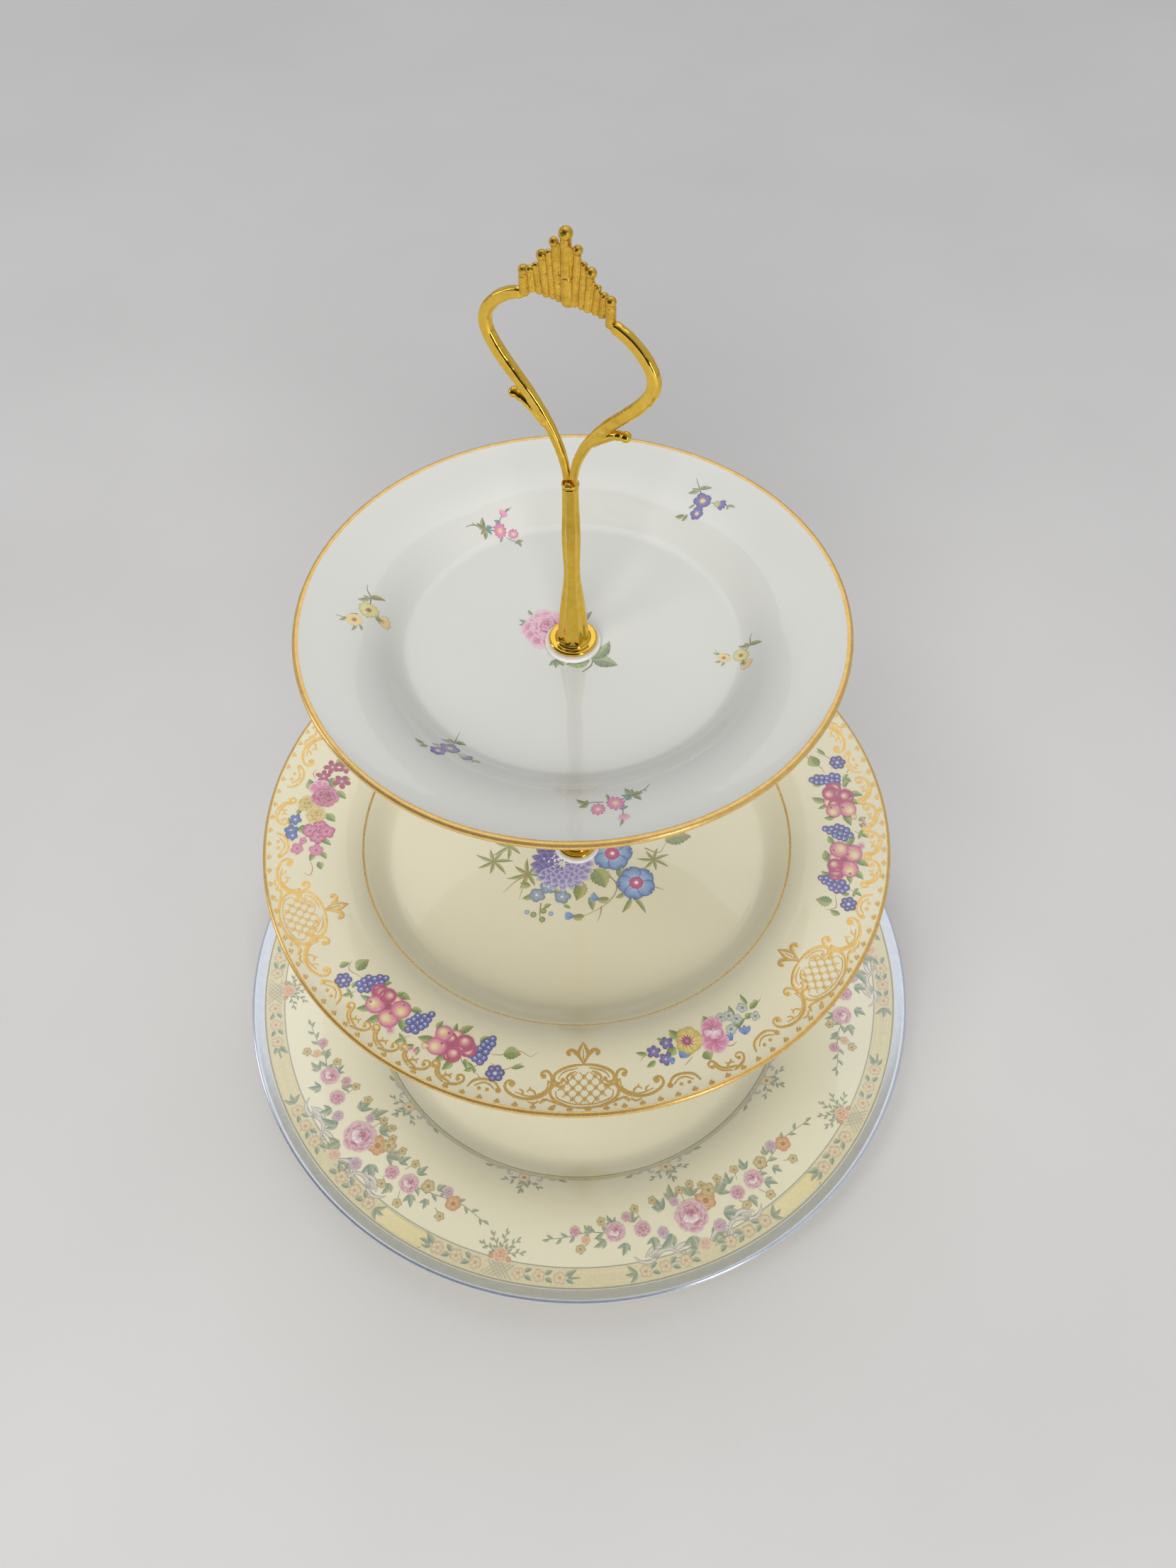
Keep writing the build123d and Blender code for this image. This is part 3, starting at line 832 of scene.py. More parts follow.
def garland():
    """A long garland: fruit between bunches of berries, leaves all round, and curling tendrils."""
    d = Drawing()
    d.strokes(
        (
            [(-33, 2), (-31, -0.5), (-28, 0.2), (-25, 1)],
            [(26, 1.5), (29.5, 2.2), (31, 3.2), (36, 4.4), (38.5, 3.4), (40.5, 5.2)],
            [(27, -1.5), (31, -2.6), (34.5, -0.4), (36.4, 1)], [(17.5, -2.5), (19.5, -4.4), (21.5, -3.8)],
            [(24, -6), (26.5, -7.4), (27.5, -6.6), (29, -8)], [(-24, -1), (-20.5, -3), (-17.5, -2.6)],
            [(-3, -3), (-1.2, -2.2), (0.5, -2.6)],
        ),
        (0.14, 0.34, 0.2, 0.1), TENDRIL, TENDRIL,
    )
    leaves = (
        (-29, 1.2, 100, 5.4, 4.2), (-33.2, -2.6, 80, 3.6, 2.2), (-13, 4.6, 20, 5.4, 3),
        (-12.5, 3.8, 70, 3.6, 1.8), (-15.5, -3.4, 235, 4.6, 2.4), (-17.5, -1.8, 205, 3.4, 1.8),
        (-11.2, -3.6, 250, 5.2, 2.6), (-5.2, 3.6, 25, 4, 2.2), (-5.6, -0.8, -40, 4.6, 2.6),
        (-19, 4, 60, 3.4, 1.9), (13.6, 4.4, 55, 5.4, 2.6), (12.2, 4.4, 110, 3.4, 1.6),
        (6.2, 2.6, 85, 3.6, 1.9), (7.2, -0.6, 205, 5, 2.6), (12.8, -3.6, 245, 3.8, 2.2),
        (15.6, -4.4, 255, 4.6, 2.4), (19, -2.8, -60, 3.4, 1.8), (21, 4.4, 50, 3.6, 1.8),
        (29.8, 2.6, 10, 5.6, 4.4), (33.6, -1.6, 20, 4, 1.7), (-24.5, -3.6, 110, 2.6, 1.4),
        (4.6, -5.4, -70, 3, 1.5), (3.4, -5.6, 215, 2.8, 1.4),
    )
    for x, y, turn, length, width in leaves:
        broad = length > 5
        d.leaf(
            x, y, turn, length, width, LEAF_DARK, LEAF_LIGHT, 0.08, 5 if broad else 0,
            "b8964f" if broad else None,
        )
    for x, y, turn, size in ((-23.4, -5, 250, 2.8), (-0.6, -5.4, 240, 3), (22.4, -4.4, 225, 3)):
        tripod(d, x, y, turn, size)
    berry_flower(d, -28.4, -4.2, 2.7)
    berry_flower(d, 29.2, -4.4, 2.8, 20)
    grapes(d, (-23.2, -1.6), 70)
    grapes(d, (-1.4, -2.2), 70, (1, 3, 3, 3, 2, 1))
    grapes(d, (22, -1.6), 72, (3, 3, 2, 2, 2, 1))
    for k, (x, y, size) in enumerate(((-5.4, -4.6, 1.2), (-4.6, -5.8, 1), (3.6, -6.6, 1.1), (4.6, -6, 0.9))):
        d.petal(x, y, 150 + 40 * k, 2, 1.5, FRUIT_DEEP, FRUIT_PINK, FRUIT_CREAM)
    d.petal(-6.6, -4.4, -50, 3.2, 2.6, FRUIT_RED, FRUIT_PINK, FRUIT_CREAM)
    d.disc(-11.8, 0.6, 3.6, FRUIT_DEEP, FRUIT_DEEP, FRUIT_RED)
    for row in (
        (-11, 3, 2.2, 100, "pale"), (-17.6, 2, 2.9, 20), (-15, -2.2, 3.3, 190, "pale", 190),
        (-8.6, -3, 3.4, 215, "pale", 110), (-7.6, 1.8, 3.4, -50, "pale", 100), (-14.4, 2.6, 3, 50),
    ):
        fruit(d, *row)
    d.disc(13.8, 0.2, 3.4, FRUIT_DEEP, FRUIT_DEEP, FRUIT_RED)
    for row in (
        (13, 3.4, 2.2, 90, "pale"), (11.6, 1.6, 2.6, 40), (18.6, 0.6, 3, -60), (14.8, -3, 3, 70, "red", 265),
        (9.4, -2.4, 3.3, 230, "pale", 60),
    ):
        fruit(d, *row)
    d.petal(7.2, -3.6, 205, 2.2, 2.2, FRUIT_YELLOW, FRUIT_YELLOW, FRUIT_PINK)
    for row in ((9.2, 2.4, 2.9, 150, "pale", 30), (16.8, 2, 3.3, 110)):
        fruit(d, *row)
    return d


def crimson_bouquet():
    """A bouquet of crimson stars, a full rose, two yellow roses, a pink cluster and blue florets."""
    d = Drawing()
    d.strokes(
        (
            [(-25, 3), (-27, 5.6), (-28.6, 6.8), (-26.6, 7.6)],
            [(21, -1), (24, -0.6), (26.6, -2), (25.2, -3.6)], [(-13, -4), (-15.4, -5.6), (-17, -4.8)],
        ),
        (0.12, 0.32, 0.12), TENDRIL, TENDRIL,
    )
    d.leaves(
        (
            (-21, 1, 160, 4.4, 2.4), (-20.4, 5, 150, 3.6, 2), (-15, 1.4, 20, 5, 3.6),
            (-8.6, -3.4, 215, 4.8, 3.4), (-9.6, 4.4, 60, 4.8, 2.8), (1, 3, 50, 4.8, 3.2),
            (7, -2.4, -70, 3.8, 3.2), (11.8, 2.4, 50, 4.6, 2.2), (17.4, 0, -20, 3.8, 2.2),
            (17.4, 2.4, 30, 3.8, 2), (21.6, 1.6, 10, 3.4, 2.4), (2, -6.6, 160, 3, 1.8),
            (6, -8.4, 200, 2.8, 1.6), (-16.6, 4.8, 80, 3, 1.8),
        ),
        LEAF_DARK, LEAF_LIGHT, bend=0.06,
    )
    crimson, ruby = "a8305c", "7c1f47"
    rosy, shell = "d77a9e", "f3ccd6"
    for x, y, turn, size in (
        (-19.4, 0, 0, 3.1), (-20.6, 4.4, 30, 2.8), (-14.8, -1.6, 50, 2.9), (-14.4, 5.2, 20, 3.3),
    ):
        d.blossom(x, y, size, 5, rosy, crimson, crimson, (shell, ruby), turn, 0.1, 0.75)
    butter = ("9c7418", "d3b040", "ecd98a")
    d.rose(-2.6, -4.2, 3.4, *butter, turn=20)
    d.rose(1.8, -0.2, 3.7, *butter, turn=80)
    for turn in (170, 215, 260):
        d.petal(-9, -1, turn, 4.4, 4, rosy, rosy, shell, 0.1)
    d.rose(-6.4, 1.4, 5, ruby, crimson, "e291ad", turn=35)
    for x, y, turn in ((6.8, 2, 20), (8.6, -1.4, 60), (11.2, 1.6, 0), (8.8, 4.2, 40)):
        d.blossom(x, y, 2.9, 5, shell, rosy, crimson, (crimson, rosy), turn, 0.12, 1.1)
    for x, y, turn, size in ((15.6, -5.4, 0, 2.3), (16.8, 1, 30, 2.6), (12.6, -3.6, 10, 1.4)):
        d.blossom(x, y, size, 5, shell, rosy, rosy, (crimson, rosy), turn, 0.1, 1)
    for x, y, turn, size in ((4.2, -7, 10, 2.2), (8.6, -8, 40, 2.6), (10.4, -7.2, 0, 2)):
        d.blossom(x, y, size, 5, "8fa5d6", "4f69b4", "33478f", (WHITE, "33478f"), turn, 0.1, 0.9)
    return d


def small_bouquet():
    """A short bouquet: yellow and pink flowers, violets on the left, pale grey ones on the right."""
    d = Drawing()
    d.strokes(
        (
            [(-10.2, -6.3), (-8, -5), (-7, -4.4)], [(18.4, 0.6), (20.4, 1.8), (21, 0.6), (22.4, 1.2)],
            [(2.6, -5.4), (5.4, -6.6), (7, -6.2)], [(-22.4, -1), (-21, 0.4), (-19, 0.6)],
        ),
        (0.12, 0.32, 0.12), TENDRIL, TENDRIL,
    )
    d.leaves(
        (
            (-8.2, 3, 115, 4.4, 3), (-10.6, 0.4, 200, 3.8, 3.2), (-3.2, -4.4, -80, 3.4, 3.4),
            (3.2, 2.4, 95, 4.4, 3), (11.2, 1, 75, 4.6, 1.8), (8.2, -2, 8, 5.6, 2.6), (17, 0.4, 5, 4.2, 2),
            (13.6, -1.4, 5, 3, 2), (17.6, 2.2, 80, 4.4, 1.4), (-19.8, 1, 160, 3.6, 1.5),
            (-18, -2, 205, 3.4, 1.8), (-13.4, 4, 140, 2.2, 1.2), (-12.4, -1.4, 170, 2.4, 1.4),
        ),
        LEAF_DARK, LEAF_LIGHT, bend=0.06,
    )
    ash = ("dcdccb", "c8ccc0", "8b968e", ("7c7a5c", "8b968e"))
    for x, y, turn in ((7.6, 3.4, 0), (11.4, 0.2, 30), (15.4, 2.2, 10), (7.8, -1.8, 50), (10, 2.4, 20)):
        d.blossom(x, y, 1.9, 5, *ash, turn, 0.1, 1.1)
    d.blossom(16.6, -2.6, 1.7, 4, *ash, 40, 0.1, 0.9)
    violet = ("a596cc", "6a58a0", "43357c")
    for x, y, turn in ((-17.6, 1.2, 0), (-12.8, 2.8, 20), (-14.8, -2.4, 45)):
        d.blossom(x, y, 2.4, 5, *violet, ("d8cfe8", "5a4690"), turn, 0.1, 0.85)
    for x, y, turn, size in (
        (-10.6, -3.4, 30, 3.2), (-12.2, -3.2, 190, 2.2), (6, -5.2, 100, 2.6), (10.2, -5.8, 60, 3.2),
    ):
        for swing in (-32, 0, 32):
            d.petal(x, y, turn + swing, size, size * 0.42, "2f4f95", "6f95cc", "4a70b5")
    yellow = ("f3e6a2", "e6cf69", "c3a23a")
    for k in range(8):
        d.petal(-5.6, 0.9, 20 + 45 * k, 5 if k % 3 else 4.3, 3.9, *yellow, 0.12)
    for k in range(12):
        start = np.array([-6.4, 1.1])
        d.stroke([start, start + 2.4 * heading(30 * k)], (0.8, 0.2), "a32f66", "b54a78")
        spoke = heading(30 * k + 9)
        d.stroke([start + 2.6 * spoke, start + 4 * spoke], (0.3, 0.1), yellow[2], yellow[1])
    d.disc(-6.4, 1.1, 1.5, "d98aa6", "a32f66", "a32f66")
    pink = ("f0bfd0", "d9779f", "b8447a")
    for k in range(5):
        d.petal(1.4, -2.8, 150 + 60 * k, 4.3, 4.4, "b83e74", pink[1], pink[0], 0.1)
    for k in range(4):
        d.petal(3, 1.6, 10 + 58 * k, 3.9, 3.8, pink[2], pink[1], pink[0], 0.1)
    for x, y, turn, length in ((2.4, 0.4, 170, 3.4), (2.6, 0.2, 250, 3), (2.6, 0.2, -40, 3)):
        d.petal(x, y, turn, length, 3.2, WHITE, pink[0], pink[2], 0.1)
    return d


def centre_bouquet():
    """The bouquet in the middle of the plate: a purple aster, blue flowers, roses and mixed leaves."""
    d = Drawing()
    olive, straw, rust = "6f7a35", "bcb96b", "b0714a"
    for x, y, turn, size in (
        (-29.5, -6.5, 0, 7), (-24, 0, 60, 7), (-17.5, -12, 40, 7.5), (27, -7, 20, 6), (-20, 16, 80, 7),
        (20, 18, 10, 7),
    ):
        for k in range(7):
            d.leaf(
                x, y, turn + 51.4 * k, size * (1 - 0.12 * (k % 3)), size * 0.2, olive, straw, 0.05,
                tip=rust if k == 2 else None,
            )
    d.strokes(
        (
            [(-17.5, -10), (-19, -17), (-20.5, -22.5)], [(-16, -12), (-21, -14.5), (-26, -19.5)],
            [(10, -12), (13.5, -17), (11.5, -23), (7.5, -26.5), (1.5, -29.8)],
            [(8, -25.8), (7.8, -28), (6.6, -31.8)], [(24, -18), (27.5, -18.6), (30, -19.6)],
            [(-12.8, -24), (-13.2, -28), (-12.6, -32.5)], [(24, -2), (29, -4), (32, 0.5)],
        ),
        (0.5, 0.4, 0.15), rust, straw,
    )
    for x, y, turn, length, width in (
        (6, -10.5, -65, 8.5, 7), (1, -15, -100, 8.4, 5), (31.5, 1, 10, 9.5, 6), (22, 0.5, 95, 6, 5),
        (14, -10.5, -60, 5.5, 3.6), (5.6, -20, -95, 5, 2), (4, -22, -80, 5.5, 2.4), (-10, 8, 160, 9, 6),
        (2, 22, 80, 8, 5.5), (14, 20, 40, 8, 5), (-6, 22, 120, 8, 5), (18, 6, 10, 8, 5.5),
        (-15.4, -21, 195, 4, 2.2), (-8.5, -18, -60, 4.5, 2), (-16.5, -17, 160, 3.8, 2.6),
        (18.5, -22.5, 240, 7, 1.8), (19.5, -22.5, 300, 7.5, 1.6), (16.5, -20.5, 210, 4, 1.8),
        (-11.8, -26, 30, 3, 1.6), (-5, -25, -30, 2.8, 1.4),
    ):
        d.leaf(
            x, y, turn, length, width, "6c8440", straw, 0.06, 6 if width > 4 else 0,
            rust if length > 9 else None,
        )
    dusty = ("cfd8dc", "8fa3b4", "5f748c")
    for x, y in ((-14.3, -20.7), (-5.5, -21.7), (-10.3, -17.4), (12, 26), (-14, 22)):
        d.blossom(x, y, 3, 5, *dusty, (WHITE, "7a8ca0"), 12 * x, 0.15, 1.1)
    for x, y in ((-17.6, -27.6), (-9.4, -28.4)):
        d.disc(x, y, 0.9, "b9c9dd", "7f98bd")
    for x, y in ((-15.4, -28.6), (-12.4, -30.6), (-12, -27.2)):
        d.disc(x, y, 1.1, "b9bd70", "6f8440")
    for x, y, turn in ((6.4, -22.7, 170), (-2.4, -29.4, 180)):
        d.leaf(x + 4.4, y - 0.2, 180, 4.6, 2.6, olive, straw)
        for swing in (-20, 0, 20):
            d.petal(x + 1, y, turn + swing, 3.4, 1.7, "2d4f8e", "6f95c9", "9db9dd")
    rose_tones = ("b84a63", "dd8f98", "f5d9d2")
    d.rose(-10, 8.5, 8.5, *rose_tones, turn=30)
    d.rose(5.5, 14.5, 8, "c98a3c", "e8c070", "f7e9bd", turn=-20)
    d.blossom(17, 10, 5.5, 8, "efe2ee", "c08fc0", "8a5a9a", ("f0e08a", "a08040"), 0, 0.1, 1.1)
    lilac = [tone(t) for t in LILAC]
    for ring, (count, reach, width) in enumerate(
        ((20, 11.4, 3), (18, 9.4, 2.8), (15, 7.2, 2.5), (12, 5.2, 2.2), (8, 3.4, 1.8))
    ):
        for k in range(count):
            turn = 360 * k / count + 9 * ring
            start = np.array([-5.2, -8.2]) + reach * 0.32 * heading(turn)
            shade = 0.5 + 0.5 * sin(radians(turn) + 2.5)
            body = lilac[1] * shade + lilac[0] * (1 - shade)
            d.petal(*start, turn, reach * 0.68, width, lilac[0], body, lilac[2] if shade > 0.3 else lilac[1])
    for k in range(46):
        spot = np.array([-6.4, -6.6]) + (picks.gauss(0, 2.3), picks.gauss(0, 2))
        d.disc(*spot, 0.32, WHITE, "e6e0f2")
    for x, y, size, turn in ((12.4, -4.2, 7.4, 8), (20.4, -16.6, 7, 40)):
        at = np.array([x, y])
        for k in range(5):
            angle = turn + 72 * k
            d.petal(x, y, angle, size, size * 1.02, "d8e6f3", "86a9d6", "34589f", 0.14)
            for swing in (-14, 0, 14):
                ray = heading(angle + swing)
                d.stroke([at + 0.35 * size * ray, at + 0.8 * size * ray], (0.3, 0.1), "c4d6ec", "7d9fcf")
        for k in range(9):
            d.disc(*(at + size * 0.24 * heading(40 * k)), size * 0.13, "d9608f", "b03068")
        d.disc(x, y, size * 0.26, "e889ac", "bb3a70")
        d.disc(x + 0.1, y + 0.1, size * 0.09, WHITE, WHITE)
    return d


def gilt_stroke(d, route, widths, relief=0.03):
    """A raised line of gilding."""
    d.stroke(route, widths, GOLD, GOLD, relief=relief, step=0.3)


def gilt_strokes(d, rows, side=1, shift=0):
    """Raised lines given as (route, widths), mirrored if side is -1, then shifted along X."""
    for route, widths in rows:
        gilt_stroke(d, [(side * x + shift, y) for x, y in route], widths)


def gilt_dot(d, x, y, radius):
    """A raised dot of gilding."""
    d.disc(x, y, radius, GOLD, GOLD, relief=0.035)


def scroll_bay(count):
    """Linked scrolls along the rim, each a doubled hook that opens towards the middle of the plate."""
    d = Drawing()
    for k in range(count):
        x = (k - (count - 1) / 2) * SCROLL_PITCH
        gilt_strokes(
            d,
            (
                (
                    [
                        (-4.7, -3.4), (-5.3, -2.2), (-4.2, -1.2), (-3.1, -2.2), (-2.6, -3.8), (-0.8, -5.4),
                        (2.2, -6.2),
                    ],
                    (0.5, 0.8, 0.9, 0.9, 0.8, 0.8, 0.6),
                ),
                ([(-3.6, -2.4), (-3.4, -4), (-1.6, -6), (0.4, -6.9)], (0.5, 0.6, 0.6, 0.5)),
                (
                    [
                        (0.8, -7.2), (3.4, -6.4), (5.4, -4.9), (5.6, -3.2), (4.4, -2.6), (3.4, -3.4),
                        (3.9, -4.4),
                    ],
                    (0.6, 0.9, 0.9, 0.8, 0.7, 0.6, 0.5),
                ),
                ([(-1.2, -6.2), (0, -4.7), (1.3, -4.2), (2, -4.9)], (0.4, 0.7, 0.7, 0.4)),
                ([(0.2, -4.6), (-0.3, -3.4)], (0.6, 0.3)), ([(1.2, -4.2), (1.7, -3.2)], (0.6, 0.3)),
            ),
            shift=x,
        )
        gilt_dot(d, x - 4.5, -3.2, 0.7)
        gilt_dot(d, x + 4, -4.2, 0.65)
    return d


def flower_bay(side):
    """The large scroll beside a medallion, with small sprigs in its hollow."""
    d = Drawing()
    gilt_strokes(
        d,
        (
            (
                [
                    (12.6, 2.2), (13.6, 3.4), (12.2, 4.6), (10.5, 3.4), (9.9, 0.8), (11, -2.2), (14, -4.6),
                    (18, -5.4), (21.8, -4.4), (23.9, -2), (22.9, -0.2), (21.3, -0.9), (21.9, -2.2),
                ],
                (0.7, 0.9, 1, 1, 1.1, 1.1, 1, 1, 0.9, 0.8, 0.6),
            ),
            ([(11.2, 1.6), (11.2, -0.8), (13.2, -3.2), (16.8, -4.4), (20.4, -3.6)], (0.4, 0.5, 0.5, 0.4)),
            ([(14.2, -3.9), (15, -2.6), (16.4, -2.2), (17, -3)], (0.4, 0.7, 0.6, 0.4)),
            ([(16.2, -2.4), (16.4, -1.2)], (0.6, 0.3)),
            ([(18, -4.3), (18.4, -2.9), (19.4, -2.4)], (0.4, 0.7, 0.3)),
            ([(25.2, -3.6), (27, -1.9), (30.4, -1.6), (33.6, -3.4), (34.4, -5.6)], (0.6, 0.9, 0.9, 0.9, 0.5)),
            ([(26.6, -4.2), (28.2, -3), (30.6, -2.9), (32.6, -4.6)], (0.4, 0.6, 0.6, 0.4)),
        ),
        side,
    )
    for x, y, radius in (
        (12.7, 2.8, 0.85), (22.2, -1.3, 0.8), (25.4, -4.2, 0.9), (28.6, -4.8, 0.6), (31, -5, 0.6),
    ):
        gilt_dot(d, side * x, y, radius)
    return d


LATTICE_PITCH = 3.5


def in_lattice(x, y, width, height):
    """Whether a point is inside an oval of these half sizes, round the middle of a medallion's lattice."""
    return (x / width) ** 2 + ((y + 0.7) / height) ** 2 < 1


def medallion():
    """An oval of gilt lattice with a fleur on its inner end, between two large scrolls."""
    d = Drawing()
    for side in (-1, 1):
        gilt_strokes(
            d,
            (
                (
                    [(0, 7.2), (3.6, 6.8), (7.2, 5.4), (9.4, 3.2), (9, 1.2), (7.2, 1), (6.4, 2.4)],
                    (0.6, 0.9, 1, 1, 0.9, 0.6),
                ),
                ([(1.8, 6), (5, 5.2), (7.4, 3.6), (8, 2.2)], (0.3, 0.5, 0.5, 0.3)),
                ([(2.6, 4.9), (4.4, 4), (5.4, 2.6), (4.8, 1.6)], (0.4, 0.8, 0.8, 0.4)),
                (
                    [(7, -0.6), (9, 0), (10.2, -1.6), (9.4, -4.2), (6.4, -6.2), (3, -7.2), (0, -7.4)],
                    (0.8, 0.9, 0.9, 0.9, 0.7, 0.8),
                ),
                ([(8.6, -1.8), (8.2, -3.8), (5.8, -5.3), (3, -6.1), (0, -6.3)], (0.3, 0.5, 0.4, 0.4)),
                ([(12.8, -6.4), (11.8, -5), (9.8, -5.3), (7.4, -6.2), (4, -7.4)], (0.8, 0.7, 0.6, 0.5)),
                ([(13.2, -5.6), (14.6, -6.6), (16.4, -6.2)], (0.5, 0.7, 0.3)),
                (
                    [(0, 7.4), (1, 9.2), (2.8, 11.6), (4.4, 12.2), (5.6, 11.2), (5, 10.4)],
                    (0.5, 0.9, 1.5, 1.2, 0.7),
                ),
                ([(0.6, 8.6), (1.6, 10.4), (1.2, 12.6), (0, 15.3)], (0.5, 1.2, 1.1, 0.3)),
                ([(0, 8.8), (0, 12.6)], (0.5, 0.3)),
            ),
            side,
        )
        for x, y, size in (
            (6.6, 2, 0.7), (6.6, -0.3, 0.75), (5, 10.8, 0.7), (10.4, 1, 0.5), (11.9, -5.2, 0.6),
            (8.6, -7, 0.5),
        ):
            gilt_dot(d, side * x, y, size)
        for k in range(-3, 4):
            foot = LATTICE_PITCH * k
            ends = []
            for share in np.linspace(0, 1, 41):
                x, y = foot + side * (share - 0.5) * 10, -6 + 10.6 * share
                if in_lattice(x, y, 8.4, 5.6):
                    ends.append((x, y))
            if len(ends) > 6:
                gilt_stroke(d, [ends[0], ends[-1]], (0.3, 0.3), 0.02)
    return d


def lattice_stars():
    """A small star on each crossing of a medallion's lattice."""
    d = Drawing()
    for i in range(-4, 5):
        for j in range(-4, 5):
            x, y = LATTICE_PITCH * (i + j) / 2, -0.7 + 0.53 * LATTICE_PITCH * (j - i)
            if in_lattice(x, y, 8, 5.2):
                gilt_stroke(d, [(x, y - 0.95), (x, y + 0.95)], (0.15, 0.5, 0.15))
                gilt_stroke(d, [(x - 0.8, y), (x + 0.8, y)], (0.15, 0.5, 0.15))
    return d


def trefoils():
    """A row of small three-dot clovers, all round the plate."""
    d = Drawing()
    pitch = tau * TREFOIL_RADIUS / TREFOILS
    for k in range(TREFOILS):
        x = (k - (TREFOILS - 1) / 2) * pitch
        for dx, dy in ((-0.55, 0), (0.55, 0), (0, 0.6)):
            gilt_dot(d, x + dx, dy, 0.44)
        gilt_stroke(d, [(x, -0.6), (x, 0)], (0.3, 0.3), 0.02)
    return d


picks = random.Random(7)
middle_repeats = (-90.4, 29.6, 149.6)
GARLAND_RADIUS = 92.5
BOUQUET_RADIUS, BOUQUET_OFFSET = 91, 59.5
GILT_RADIUS, MEDALLION_OFFSET, SCROLL_PITCH = 98, 34.4, 11.3
TREFOILS, TREFOIL_RADIUS = 120, 106
WELL_LINE_RADIUS = 74.65
lay(
    "middle_plate_garlands", plates["middle"],
    [(garland(), GARLAND_RADIUS, angle) for angle in middle_repeats],
)
bouquets = [(crimson_bouquet(), BOUQUET_RADIUS, middle_repeats[2] + BOUQUET_OFFSET)]
bouquets += [(small_bouquet(), BOUQUET_RADIUS, angle + BOUQUET_OFFSET) for angle in middle_repeats[:2]]
lay("middle_plate_bouquets", plates["middle"], bouquets)
lay("middle_plate_centre", plates["middle"], [(centre_bouquet(), 0, HANDLE_TURN)])
gilt = []
for angle in middle_repeats:
    for offset in (-MEDALLION_OFFSET, MEDALLION_OFFSET):
        parts = (medallion(), lattice_stars(), flower_bay(-1), flower_bay(1))
        gilt += [(part, GILT_RADIUS, angle + offset) for part in parts]
    gilt += [(scroll_bay(4), GILT_RADIUS, angle), (scroll_bay(1), GILT_RADIUS, angle + 60)]
gilt += [(trefoils(), TREFOIL_RADIUS, 0)]
lay("middle_plate_gilt_border", plates["middle"], gilt, gilded=True)
line = Drawing()
reach = pi * WELL_LINE_RADIUS
line.stroke([(-reach, 0), (reach, 0)], (0.62, 0.62), GOLD, GOLD)
lay("middle_plate_gilt_line", plates["middle"], [(line, WELL_LINE_RADIUS, 0)], gilded=True)
plates["middle"].edge_band("middle_plate_gilt_edge", 1.3, 9, gilding, "gilding", 0.1)

# ---- bottom plate: sprays, border and platinum --------------------------------------------------
SAGE, SAGE_LIGHT, TEAL = "84957c", "bac1a4", "6b9083"
GREY_LINE = "a3a397"
SHELL_PINK = ("a34e72", "c9839c", "efcfd4")
PEACH = ("c58850", "e0b080", "f1dab8")
STRAW = ("ab9660", "d3c28c", "f0e6c0")
MAUVE = ("98708e", "c09ab0", "e2ccd6")


